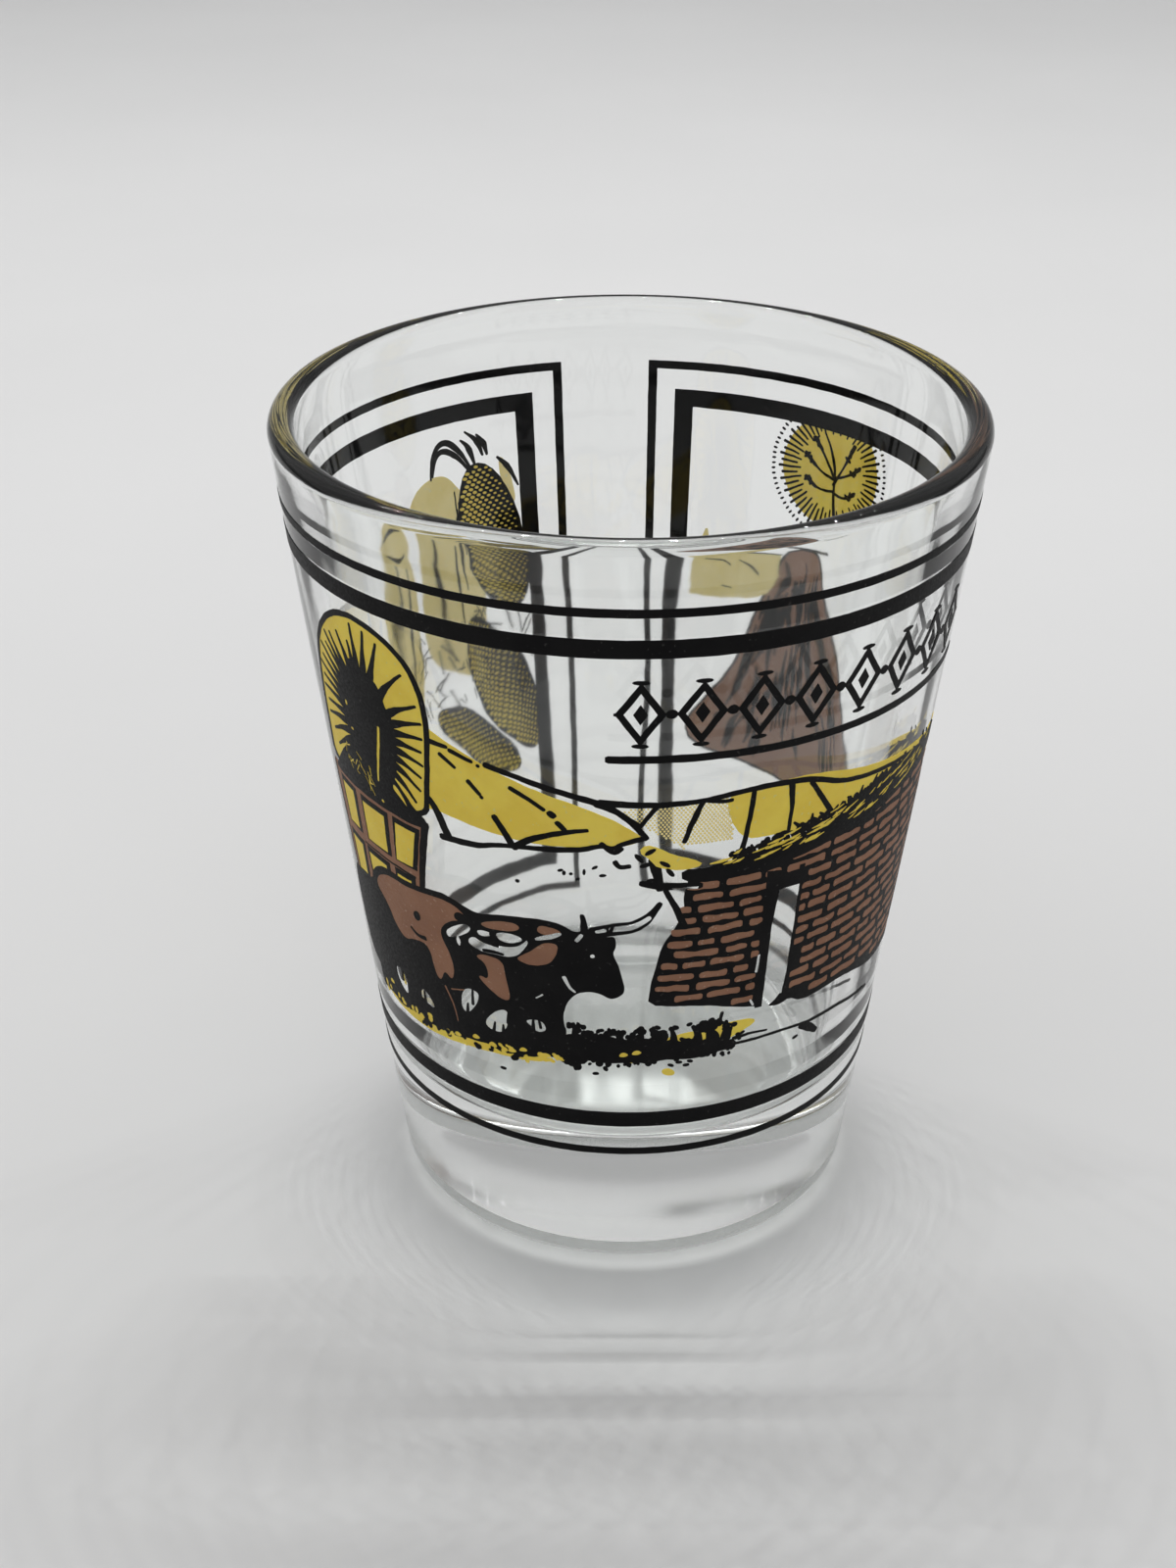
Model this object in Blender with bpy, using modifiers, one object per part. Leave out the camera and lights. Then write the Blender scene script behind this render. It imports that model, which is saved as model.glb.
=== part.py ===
"""Souvenir shot glass: a clear tapered tumbler with fired enamel decoration, in metres, +Z up.

The glass is one turned body. Every enamel deposit is a thin film with a node of its own. It is
drawn on the printing sheet, as an angle in degrees round from the front (-Y) and a height up the
sheet in millimetres, then filled, wrapped onto the cone and thickened. Yellow and brown films
lie next to the glass, and the black films lie over them.
"""

import math

import bpy
from mathutils import Vector
from mathutils.geometry import delaunay_2d_cdt

MM = 0.001

# Glass body
HEIGHT = 59.5 * MM
RIM_RADIUS = 24.0 * MM
BASE_RADIUS = 16.755 * MM
RIM_ROUND = 0.88 * MM
WALL_AT_FLOOR = 2.4 * MM
FLOOR_HEIGHT = 10.5 * MM
FLOOR_DISH = 0.5 * MM
FLOOR_FILLET = 4.5 * MM
HEEL_ROUND = 2.0 * MM
FOOT_INNER_RADIUS = 11.5 * MM
PUNT_DEPTH = 0.6 * MM
FACETS = 72
FACET_DEGREES = 360.0 / FACETS

# Enamel
FILM = 0.05 * MM
COLOUR_CLEARANCE = 0.04 * MM
BLACK_CLEARANCE = COLOUR_CLEARANCE + FILM + 0.03 * MM
ISLAND_GAP = 0.15
INK_OVERLAP = 0.15
MM_PER_DEGREE = math.radians(20.65)
FILL_TOLERANCE = 1e-4

# The printing sheet: its zero line stands this far above the bench, and it was laid on a little
# askew, so that the picture's top edge is this much lower at the back than at the front
SHEET_RISE, SHEET_DROOP = 1.5, 0.8
SHEET_TOP = 53.4

# Levels and angles shared by neighbouring motifs, in degrees and millimetres up the sheet
RULE_BOX, RULE_WIDTH = (-167.0, 174.6, 9.85, 53.43), 0.6
BAND_BOX, BAND_WIDTH = (-160.0, 168.4, 12.85, 50.95), 1.3
COVER_ARCH = (-51.5, 15.5, 35.2, 43.2, 6.0)
BOX_TOP, BOX_FLOOR = 34.9, 26.0
DOORWAY = (27.3, 31.8, 21.0, 31.4)
WALL_LEFT, WALL_RIGHT = 4.6, 76.0
COURSES, COURSE_PITCH, FIRST_COURSE = 8, 1.6, 21.1
BRICK_LENGTH, MORTAR_WIDTH = 2.9, 0.42
EAR_TALL = (-149.6, 40.6, 2.3, 6.2, -8.0)
EAR_SHORT = (-147.6, 28.4, 2.2, 5.6, -28.0)

# Base colour, roughness, transmission
FINISHES = {
    "clear_glass": ((0.93, 0.96, 0.94), 0.02, 1.0),
    "black_enamel": ((0.012, 0.011, 0.012), 0.45, 0.0),
    "yellow_enamel": ((0.60, 0.42, 0.05), 0.45, 0.0),
    "tan_enamel": ((0.50, 0.44, 0.31), 0.45, 0.0),
    "brown_enamel": ((0.25, 0.13, 0.08), 0.5, 0.0),
}


# ---------------------------------------------------------------- shapes on the unrolled wall


def sheet(angle, height):
    """A place on the unrolled wall, in millimetres."""
    return Vector((angle * MM_PER_DEGREE, height))


def points(*places):
    return [sheet(*place) for place in places]


def rectangle(left, right, low, high):
    return points((left, low), (right, low), (right, high), (left, high))


def ellipse(angle, height, half_width, half_height, count=16, tilt=0.0):
    """A round shape; its half sizes are in millimetres and its tilt in degrees."""
    centre, turn = sheet(angle, height), math.radians(tilt)
    ring = []
    for i in range(count):
        step = 2 * math.pi * i / count
        x, y = half_width * math.cos(step), half_height * math.sin(step)
        ring.append(centre + Vector((x * math.cos(turn) - y * math.sin(turn),
                                     x * math.sin(turn) + y * math.cos(turn))))
    return ring


def stroke(places, width, end_width=None):
    """A pen line through the places, square ended, tapering to end_width."""
    line = points(*places)
    end_width = width if end_width is None else end_width
    left, right = [], []
    for i, here in enumerate(line):
        before, after = line[max(i - 1, 0)], line[min(i + 1, len(line) - 1)]
        along = (after - before).normalized()
        half = (width + (end_width - width) * i / (len(line) - 1)) / 2
        across = Vector((-along.y, along.x)) * half
        left.append(here + across)
        right.append(here - across)
    return right + left[::-1]


def arch(grow=0.0, count=14):
    """The wagon cover: straight sides under a round top, grown by some millimetres."""
    middle, half, base, spring, rise = COVER_ARCH
    half += grow / MM_PER_DEGREE
    top = [math.pi * i / count for i in range(count + 1)]
    curve = [(middle + half * math.cos(t), spring + (rise + grow) * math.sin(t)) for t in top]
    return points((middle - half + 1.0, base - grow), (middle + half - 2.5, base - grow), *curve)


def zigzag(start, end, low, high, teeth):
    """Tufts from one place to another: points standing on a sloping line."""
    places = []
    for i in range(teeth):
        part, crest = i / teeth, (i + 0.5) / teeth
        places.append((start[0] + (end[0] - start[0]) * part, start[1] + (end[1] - start[1]) * part + low))
        places.append((start[0] + (end[0] - start[0]) * crest,
                       start[1] + (end[1] - start[1]) * crest + (high if i % 3 else high * 0.6)))
    return places + [(end[0], end[1] + low)]


def spokes(angle, height, inner, outer, count, width, turn=0.0):
    """Rays round a centre, as pen lines that start inside the inner radius, in millimetres."""
    centre, rays = sheet(angle, height), []
    for i in range(count):
        way = 2 * math.pi * i / count + turn
        aim = Vector((math.cos(way), math.sin(way)))
        side = Vector((-aim.y, aim.x)) * width / 2
        rays.append([centre + aim * inner - side, centre + aim * outer - side * 0.5,
                     centre + aim * outer + side * 0.5, centre + aim * inner + side])
    return rays


# ---------------------------------------------------------------- films


def turned_ccw(outline):
    area = sum(a.x * b.y - b.x * a.y for a, b in zip(outline, outline[1:] + outline[:1]))
    return outline if area > 0 else outline[::-1]


def filled(layers):
    """Triangles of the painted area: each layer is (inked, outline), and a later one covers an earlier."""
    places, rings = [], []
    for _, outline in layers:
        rings.append(range(len(places), len(places) + len(outline)))
        places.extend(turned_ccw(outline))
    low, high = min(p.y for p in places) - 1, max(p.y for p in places) + 1
    pitch = FACET_DEGREES * MM_PER_DEGREE
    first, last = (round(f(p.x for p in places) / pitch) for f in (min, max))
    creases = []
    for i in range(first - 1, last + 2):
        creases.append((len(places), len(places) + 1))
        places += [Vector((i * pitch, low)), Vector((i * pitch, high))]
    corners, _, faces, _, _, owners = delaunay_2d_cdt(
        places, creases, [list(r) for r in rings], 0, FILL_TOLERANCE)
    kept = [face for face, owner in zip(faces, owners) if owner and layers[max(owner)][0]]
    return corners, kept


def wall_radius(height):
    return BASE_RADIUS + (RIM_RADIUS - BASE_RADIUS) * height / (HEIGHT - RIM_ROUND)


def wrapped(place, clearance):
    """A place on the unrolled wall, carried onto the cone and lifted off the glass."""
    angle = math.radians(place.x / MM_PER_DEGREE)
    droop = SHEET_DROOP * (1 - math.cos(angle)) / 2 * place.y / SHEET_TOP
    height = (place.y + SHEET_RISE - droop) * MM
    radius = wall_radius(height) + clearance
    return radius * math.sin(angle), -radius * math.cos(angle), height


def film(name, finish, inked, bare=(), more=()):
    """One deposit of enamel: inked outlines, bare outlines cut out of them, then more inked ones."""
    layers = [(True, o) for o in inked] + [(False, o) for o in bare] + [(True, o) for o in more]
    corners, faces = filled(layers)
    used = sorted({i for face in faces for i in face})
    place_of = {old: new for new, old in enumerate(used)}
    clearance = BLACK_CLEARANCE if finish == "black_enamel" else COLOUR_CLEARANCE
    mesh = bpy.data.meshes.new(name)
    mesh.from_pydata([wrapped(corners[i], clearance) for i in used], [],
                     [[place_of[i] for i in face] for face in faces])
    skin = add_part(name, mesh, finish)
    thickness = skin.modifiers.new("thickness", "SOLIDIFY")
    thickness.thickness = FILM
    thickness.offset = 1.0
    return skin


# ---------------------------------------------------------------- scene


def clear_scene():
    for old in list(bpy.data.objects):
        bpy.data.objects.remove(old, do_unlink=True)


def material(finish):
    found = bpy.data.materials.get(finish)
    if found:
        return found
    colour, roughness, transmission = FINISHES[finish]
    made = bpy.data.materials.new(finish)
    made.use_nodes = True
    made.diffuse_color = (*colour, 1.0)
    shader = made.node_tree.nodes["Principled BSDF"].inputs
    shader["Base Color"].default_value = (*colour, 1.0)
    shader["Roughness"].default_value = roughness
    shader["Transmission Weight"].default_value = transmission
    return made


def add_part(name, mesh, finish):
    part = bpy.data.objects.new(name, mesh)
    bpy.data.collections["shot_glass"].objects.link(part)
    part.data.materials.append(material(finish))
    return part


def arc(centre, radius, start, end, count):
    """Points of a circular arc in the profile plane, from one angle in degrees to another."""
    turns = [math.radians(start + (end - start) * i / count) for i in range(count + 1)]
    return [(centre[0] + radius * math.cos(t), centre[1] + radius * math.sin(t)) for t in turns]


def glass_profile():
    """From the middle of the cup's floor, up the inside, over the rim, down to the punt's middle."""
    bead = (RIM_RADIUS - RIM_ROUND, HEIGHT - RIM_ROUND)
    fillet_height = FLOOR_HEIGHT + FLOOR_FILLET
    inner_low = wall_radius(fillet_height) - WALL_AT_FLOOR
    heel = (wall_radius(HEEL_ROUND) - HEEL_ROUND, HEEL_ROUND)
    flat_radius = inner_low - FLOOR_FILLET
    floor = [(0.0, FLOOR_HEIGHT - FLOOR_DISH), (flat_radius / 2, FLOOR_HEIGHT - 0.8 * FLOOR_DISH)]
    cup = arc((flat_radius, fillet_height), FLOOR_FILLET, -90, 0, 5)
    rim = arc(bead, RIM_ROUND, 180, 0, 6)
    foot = arc(heel, HEEL_ROUND, 0, -90, 4)
    punt = [(FOOT_INNER_RADIUS, 0.0), (FOOT_INNER_RADIUS * 0.8, PUNT_DEPTH * 0.6), (0.0, PUNT_DEPTH)]
    return floor + cup + rim + foot + punt


def make_glass():
    profile = glass_profile()
    mesh = bpy.data.meshes.new("glass_body")
    mesh.from_pydata([(x, 0.0, z) for x, z in profile],
                     [(i, i + 1) for i in range(len(profile) - 1)], [])
    body = add_part("glass_body", mesh, "clear_glass")
    turn = body.modifiers.new("turn", "SCREW")
    turn.axis = "Z"
    turn.steps = FACETS
    turn.render_steps = FACETS
    turn.use_merge_vertices = True
    turn.merge_threshold = 0.00001
    turn.use_smooth_shade = True
    return body


# ---------------------------------------------------------------- borders and title


def frame_loop(name, box, width):
    """A closed rectangle of pen line round the printed panel."""
    left, right, low, high = box
    side, half = width / 2 / MM_PER_DEGREE, width / 2
    outer = rectangle(left - side, right + side, low - half, high + half)
    inner = rectangle(left + side, right - side, low + half, high - half)
    film(name, "black_enamel", [outer], [inner])


def make_title():
    """A row of open lozenges on a thread, over a plain rule."""
    first, pitch, count, middle = 1.0, 9.6, 8, 46.3
    thread = stroke([(first - 4, middle), (first + pitch * count - 5, middle)], 0.35)
    tall, wide = 2.3, 1.45
    lozenges = [ellipse(first + pitch * i, middle, wide, tall, 4) for i in range(count)]
    openings = [ellipse(first + pitch * i, middle, wide * 0.5, tall * 0.6, 4) for i in range(count)]
    film("title_frieze", "black_enamel", [thread] + lozenges, openings)
    film("title_underline", "black_enamel", [stroke([(-4, 43.0), (76, 43.0)], 0.55)])


# ---------------------------------------------------------------- wagon


def make_wagon_cover():
    film("wagon_cover_yellow", "yellow_enamel", [arch()])
    opening = ellipse(-51.0, 40.5, 3.0, 4.6, 14)
    saddle = points((-66.5, 35.0), (-38.8, 35.0), (-40.5, 36.2), (-46, 38.2), (-57, 38.2), (-64, 36.4))
    rays = spokes(-51.0, 40.5, 2.4, 5.1, 16, 0.45, turn=0.1)
    film("wagon_cover_black", "black_enamel", [arch(0.22)], [arch(-0.22)], [saddle, opening] + rays)


def panes():
    """The lights of the wagon box, left to right: three above the rail and two below it."""
    upper = [(-68.3, -62.8, 31.1, 34.2), (-59.4, -51.4, 31.1, 34.2), (-48.4, -42.9, 31.1, 34.2)]
    lower = [(-67.5, -62.8, BOX_FLOOR + 0.6, 30.1), (-59.4, -52.0, BOX_FLOOR + 0.6, 30.1)]
    return upper + lower


def make_wagon_box():
    sides = points((-71, BOX_TOP), (-67.0, BOX_FLOOR), (-45.0, BOX_FLOOR), (-39.6, BOX_TOP))
    margin = ISLAND_GAP / MM_PER_DEGREE
    openings = [rectangle(a - margin, b + margin, low - ISLAND_GAP, high + ISLAND_GAP)
                for a, b, low, high in panes()]
    film("wagon_box_brown", "brown_enamel", [sides], openings + [rear_ox(ISLAND_GAP + 0.2)])
    for i, pane in enumerate(panes(), start=1):
        film(f"wagon_pane_{i}_yellow", "yellow_enamel", [rectangle(*pane)], [rear_ox(ISLAND_GAP + 0.2)])


# ---------------------------------------------------------------- oxen and ground


def grown(outline, distance):
    """An outline pushed outwards by a distance in millimetres."""
    ring, out = turned_ccw(outline), []
    for before, here, after in zip(ring[-1:] + ring[:-1], ring, ring[1:] + ring[:1]):
        along = (after - before).normalized()
        out.append(here + Vector((along.y, -along.x)) * distance)
    return out


def rear_ox(grow=0.0):
    """The near side of the ox behind, without its legs."""
    return grown(points((-60.5, 25.5), (-59.8, 27.6), (-56, 29.2), (-49, 29.6), (-41, 29.8), (-33, 29.2),
                        (-31.5, 26), (-34, 23), (-42, 21.8), (-52, 22), (-59, 22.8)), grow)


def front_ox():
    """The ox in front, head to the right."""
    return points((-34, 27.6), (-27, 29.3), (-18, 29.6), (-11, 29.0), (-7, 29.5), (-3.2, 28.6), (-1.8, 26.8),
                  (-1.2, 24.6), (-4.2, 23.9), (-8.6, 24.6), (-11.6, 24.0), (-12.6, 22.2), (-18, 21.4),
                  (-26, 22.4), (-32, 23))


def legs():
    """Pairs of legs, each a pair of strokes down into the grass."""
    rear = [(-57.5, -58.5), (-53, -52), (-40.5, -41.5), (-37.5, -36)]
    front = [(-31, -32), (-27.5, -26), (-16, -17), (-13.5, -12)]
    return [stroke([(top, 23.2), (foot, 19.0)], 0.9, 0.7) for top, foot in rear + front]


def grass():
    tufts = zigzag((-65, 19.4), (23, 20.2), 0.0, 1.1, 26)
    return points((-65, 17.0), (-55, 16.6), (-30, 17.3), (0, 18.1), (12, 18.8), (23, 18.9), *tufts[::-1])


def make_oxen():
    hide = points((-58.6, 27.0), (-55, 28.7), (-48.5, 29.2), (-41, 29.3), (-35.5, 28.6), (-38.5, 27.3),
                  (-38, 25.2), (-38.6, 22.9), (-41.4, 23.2), (-43, 25.1), (-51, 24.6), (-56, 25.3))
    shoulder = points((-27.5, 27.9), (-19, 29.1), (-13.5, 28.6), (-14.5, 26.7), (-21, 25.9))
    film("rear_ox_brown", "brown_enamel", [grown(hide, 0.2)])
    film("front_ox_brown", "brown_enamel", [grown(shoulder, 0.2)])
    horns = [stroke([(-10, 28.6), (-9.2, 30.4)], 0.5, 0.3),
             stroke([(-7.5, 29.2), (-2, 29.6), (3.5, 30.4), (5.0, 31.5)], 0.55, 0.3)]
    track = stroke([(20, 18.8), (36, 18.7), (48, 18.3), (60, 17.6)], 0.35, 0.25)
    film("oxen_and_ground_black", "black_enamel", [rear_ox(), front_ox()] + legs(), [hide, shoulder],
         [grass(), track] + horns)
    film("grass_left_yellow", "yellow_enamel",
         [points((-64, 16.4), (-50, 16.2), (-24, 16.9), (-22, 18.0), (-44, 18.0), (-62, 17.8))])
    film("grass_right_yellow", "yellow_enamel",
         [points((5, 18.9), (14, 19.0), (25, 20.2), (22, 20.8), (8, 20.2))])


# ---------------------------------------------------------------- hills


def make_hills():
    slope = points((-37, 43.4), (-28, 41.8), (-14, 40.0), (-5, 38.9), (1.6, 37.0), (-3, 36.3), (-12, 36.0),
                   (-25, 36.3), (-40, 36.7))
    film("hill_left_yellow", "yellow_enamel", [slope], [arch(ISLAND_GAP)])
    ridge = stroke([(-35.2, 42.3), (-22, 41.3), (-12, 40.0), (-6, 39.3), (0, 38.2), (2.2, 37.0)], 0.35)
    foot = stroke([(2.2, 37.1), (-4, 36.2), (-12, 35.8), (-20, 35.5), (-27, 35.0), (-35.0, 34.9)], 0.35)
    marks = [stroke([(-24.5, 37.6), (-21, 35.5)], 0.45, 0.3), stroke([(-20.5, 35.5), (-8, 37.5)], 0.4, 0.25),
             stroke([(-20, 41.0), (-15, 39.2), (-12, 37.8)], 0.4, 0.25)]
    film("hill_left_black", "black_enamel", [ridge, foot] + marks)

    film("hill_right_tan", "tan_enamel",
         [points((-1, 39.3), (12.5, 39.7), (18.3, 36.3), (10, 36.2), (4, 37.8))])
    film("hill_right_yellow", "yellow_enamel",
         [points((13.2, 39.8), (30, 40.2), (42, 39.2), (56, 38.3), (70, 37.6), (76, 35.4), (22, 35.2),
                 (19, 36.4))])
    ridge = stroke([(-2.5, 39.7), (4, 39.6), (15, 40.1), (30, 39.9), (42, 38.5), (60, 37.4)], 0.4)
    creases = [((5, 39.6), (2.5, 38.2)), ((13, 39.9), (10, 36.6)), ((21, 40.0), (20, 35.9)),
               ((28, 39.9), (28.6, 36.6))]
    film("hill_right_black", "black_enamel", [ridge] + [stroke(pair, 0.4, 0.3) for pair in creases])


# ---------------------------------------------------------------- house


def house_face():
    """The wall of the house, ragged along the ground and leaning in at its left end."""
    return points((3.6, 23.2), (4.2, 25.6), (7, 28), (9.4, 31), (9, 33.4), (26, 34.4), (60, 34.6),
                  (WALL_RIGHT, 34.6), (WALL_RIGHT, 20.6), (64, 19.6), (56, 19.6), (44, 21.1), (36, 20.9),
                  (25.5, 21.4), (14, 22.4), (8, 22.9))


def course_spans(low):
    """The stretches of wall that a course fills, either side of the doorway."""
    lean, ragged_foot = 0.62 * max(0.0, low - 24.4), low < 23.2
    left = (14.0 if ragged_foot else WALL_LEFT + lean, DOORWAY[0] - 1.6)
    return left, (DOORWAY[1] + 0.9, WALL_RIGHT - 1.0)


def bricks():
    """Brick windows in the mortar, course by course, each course half a brick on from the last."""
    length, joint = BRICK_LENGTH / MM_PER_DEGREE, MORTAR_WIDTH / MM_PER_DEGREE
    shortest, found = 1.5, []
    for course in range(COURSES):
        low = FIRST_COURSE + course * COURSE_PITCH + MORTAR_WIDTH / 2
        high = low + COURSE_PITCH - MORTAR_WIDTH
        start = WALL_LEFT - course % 2 * length / 2
        while start < WALL_RIGHT:
            for left, right in course_spans(low):
                a, b = max(start, left), min(start + length - joint, right)
                if b - a > shortest:
                    found.append(rectangle(a, b, low, high))
            start += length
    return found


def make_house():
    doorway = rectangle(*DOORWAY)
    film("house_wall_brown", "brown_enamel", [grown(house_face(), -0.2)], [grown(doorway, 0.25)])
    post = stroke([(0.5, 33.3), (12, 33.0)], 0.5, 0.6)
    brace = stroke([(4.5, 33.2), (9.6, 30.0)], 0.4, 0.5)
    film("house_mortar_black", "black_enamel", [house_face()], bricks() + [doorway], [post, brace])
    tufts = zigzag((9, 34.9), (WALL_RIGHT, 35.9), 0.6, 1.9, 20)
    thatch = points((9, 34.9), (26, 34.9), (60, 35.1), (WALL_RIGHT, 35.1), *tufts[::-1])
    film("thatch_black", "black_enamel", [thatch])
    film("eave_yellow", "yellow_enamel", [points((2.4, 35.6), (3.6, 34.9), (8.6, 34.8), (5.2, 35.9))])


# ---------------------------------------------------------------- motifs at the back


def make_sunburst():
    middle = (134.9, 46.4)
    under_the_band = rectangle(110, 160, 49.7, 56)
    film("sunburst_yellow", "yellow_enamel", [ellipse(*middle, 3.7, 3.7, 24)], [under_the_band])
    film("sunburst_black", "black_enamel",
         [ellipse(*middle, 3.9, 3.9, 24)] + spokes(*middle, 3.8, 4.4, 18, 0.28),
         [ellipse(*middle, 3.5, 3.5, 24), under_the_band],
         spokes(*middle, 0.0, 3.6, 8, 0.35, turn=math.pi / 8))


def make_spire():
    rock = points((100, 22.8), (108, 26.4), (115, 29.2), (122, 32.8), (127, 36.4), (131, 39.2), (133.2, 40.2),
                  (141.2, 40.2), (143, 38), (144.6, 35.6), (149, 31.2), (154, 28.4), (159, 26.6), (163, 24.6),
                  (161, 23.0), (136, 22.4), (115, 22.2))
    film("spire_brown", "brown_enamel", [rock])
    cracks = [((132, 39.6), (126, 25.4)), ((137, 40.1), (135, 25)), ((141, 40.0), (142.5, 25)),
              ((146, 33.8), (149, 25.5)), ((119, 31.0), (113, 25.2))]
    ledge = stroke([(108, 25.2), (138, 25.6), (158, 25.4)], 0.4)
    film("spire_black", "black_enamel", [grown(rock, 0.15)], [grown(rock, -0.2)],
         [stroke(pair, 0.35, 0.5) for pair in cracks] + [ledge])
    block = points((147.4, 36.6), (147, 38.9), (152, 39.3), (161.4, 39.5), (162.2, 40.6), (163.2, 39.4),
                   (164.0, 36.2), (164.2, 34.9), (156, 34.8), (149.4, 35.3))
    film("block_yellow", "yellow_enamel", [block])
    film("block_black", "black_enamel", [grown(block, 0.12)], [grown(block, -0.22)],
         [stroke([(147.0, 37.9), (164.0, 37.4)], 0.3), stroke([(155.4, 39.5), (155, 37.6)], 0.3)])


def ear_outline(ear, grow=0.0):
    angle, height, half_width, half_length, tilt = ear
    return ellipse(angle, height, half_width + grow, half_length + grow, 18, tilt)


def corn_ear(name, ear):
    """An ear of corn: a yellow cob under a black net, with a window in the net for each kernel."""
    angle, height, half_width, half_length, tilt = ear
    film(f"{name}_yellow", "yellow_enamel", [ear_outline(ear)])
    windows, turn = [], math.radians(tilt)
    for row in range(-4, 5):
        for column in range(-1, 2):
            x, y = (column + 0.25 * (row % 2)) * half_width * 0.5, row * half_length * 0.19
            if (x / half_width) ** 2 + (y / half_length) ** 2 < 0.62:
                windows.append(ellipse(angle + (x * math.cos(turn) - y * math.sin(turn)) / MM_PER_DEGREE,
                                       height + x * math.sin(turn) + y * math.cos(turn),
                                       half_width * 0.17, half_length * 0.065, 6, tilt))
    film(f"{name}_black", "black_enamel", [ear_outline(ear, INK_OVERLAP)], windows)


def make_corn():
    """Two ears of corn with their husks, on one stalk."""
    corn_ear("corn_ear_tall", EAR_TALL)
    corn_ear("corn_ear_short", EAR_SHORT)
    clear_of_ears = [ear_outline(ear, ISLAND_GAP + INK_OVERLAP) for ear in (EAR_TALL, EAR_SHORT)]
    husks = {
        "husk_middle_yellow": [(-136, 33), (-140.6, 39), (-141, 46.0), (-137, 46.3), (-132.6, 45.6),
                               (-129.6, 42), (-128, 36), (-131, 32.4)],
        "husk_left_yellow": [(-157.0, 43.4), (-156.4, 47.0), (-154.6, 47.4), (-154.8, 44.6)],
        "husk_right_yellow": [(-125.6, 44), (-120, 44.4), (-115.6, 42), (-114.8, 38), (-116, 33),
                              (-120, 29.6), (-124, 29.6), (-125.8, 34)],
    }
    for name, outline in husks.items():
        film(name, "yellow_enamel", [points(*outline)], clear_of_ears)
    veins = [[(-136, 22.6), (-136.4, 32), (-135.5, 44)], [(-120, 41), (-126, 31), (-136, 22.8)],
             [(-146, 22.2), (-141, 22.2), (-136, 22.6)]]
    film("husk_veins_black", "black_enamel", [stroke(vein, 0.35, 0.45) for vein in veins], clear_of_ears)


def main():
    clear_scene()
    shot_glass = bpy.data.collections.new("shot_glass")
    bpy.context.scene.collection.children.link(shot_glass)
    make_glass()
    frame_loop("border_outer_rule", RULE_BOX, RULE_WIDTH)
    frame_loop("border_inner_band", BAND_BOX, BAND_WIDTH)
    make_title()
    make_wagon_cover()
    make_wagon_box()
    make_oxen()
    make_hills()
    make_house()
    make_sunburst()
    make_spire()
    make_corn()


main()
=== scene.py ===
"""Looks of the souvenir shot glass: clear glass with a fired enamel picture, over the CAD model."""

import math
import random

import bpy
import numpy as np
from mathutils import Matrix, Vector, noise
from mathutils.geometry import delaunay_2d_cdt


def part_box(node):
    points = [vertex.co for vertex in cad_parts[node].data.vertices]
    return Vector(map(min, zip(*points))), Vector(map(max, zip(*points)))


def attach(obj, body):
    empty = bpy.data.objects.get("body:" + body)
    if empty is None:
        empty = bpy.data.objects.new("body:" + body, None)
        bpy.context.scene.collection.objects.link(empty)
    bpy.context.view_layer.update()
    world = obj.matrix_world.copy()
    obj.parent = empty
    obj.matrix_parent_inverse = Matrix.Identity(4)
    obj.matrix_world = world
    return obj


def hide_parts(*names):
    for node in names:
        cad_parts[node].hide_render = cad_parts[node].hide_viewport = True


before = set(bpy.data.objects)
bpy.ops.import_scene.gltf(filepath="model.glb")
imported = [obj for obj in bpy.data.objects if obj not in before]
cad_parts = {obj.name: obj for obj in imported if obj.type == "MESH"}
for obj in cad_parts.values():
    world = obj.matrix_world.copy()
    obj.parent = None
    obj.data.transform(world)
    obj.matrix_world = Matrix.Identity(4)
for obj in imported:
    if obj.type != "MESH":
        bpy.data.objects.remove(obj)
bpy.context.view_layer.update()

MM = 0.001
_, GLASS_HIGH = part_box("glass_body")

# Glass body, as in the CAD model, but for the neck: the wall thins by NECK at NECK_DEPTH below the
# rim's bead, and comes back to its full thickness further down
HEIGHT = GLASS_HIGH.z
RIM_RADIUS = GLASS_HIGH.x
BASE_RADIUS = 16.755 * MM
RIM_ROUND = 0.88 * MM
NECK, NECK_DEPTH = 0.13 * MM, 2.0 * MM
WALL_AT_FLOOR = 2.4 * MM
FLOOR_HEIGHT = 10.5 * MM
FLOOR_DISH = 0.5 * MM
FLOOR_FILLET = 4.5 * MM
HEEL_ROUND = 2.0 * MM
FOOT_INNER_RADIUS = 11.5 * MM
PUNT_DEPTH = 0.6 * MM
TURN_STEPS = 288

# The printing sheet: its zero line stands this far above the bench, and it was laid on a little
# askew, so that the picture's top edge is this much lower at the back than at the front
SHEET_RISE, SHEET_DROOP = 1.5, 0.8
SHEET_TOP = 53.4

# Enamel: how far each ink's outer face stands off the glass; its inner face is sunk just below it
SUNK = -0.012 * MM
INK_LIFT = {"black": 0.034 * MM, "yellow": 0.022 * MM, "tan": 0.020 * MM, "brown": 0.024 * MM}
MM_PER_DEGREE = math.radians(20.65)
CREASE_DEGREES = 1.5
OUTLINE_STEP = 0.22
WOBBLE, WOBBLE_PITCH = 0.045, 1.1

# Blender seeds its vector noise from the clock, so this fixes the wobble from run to run
noise.seed_set(58)

# Levels and angles that neighbouring motifs share, in degrees round from the front and millimetres up
RULE_BOX, RULE_WIDTH = (-167.0, 174.6, 9.85, 53.43), 0.6
BAND_BOX, BAND_WIDTH = (-160.0, 168.4, 12.85, 50.95), 1.3
BAND_EDGE = BAND_BOX[3] - BAND_WIDTH / 2

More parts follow.
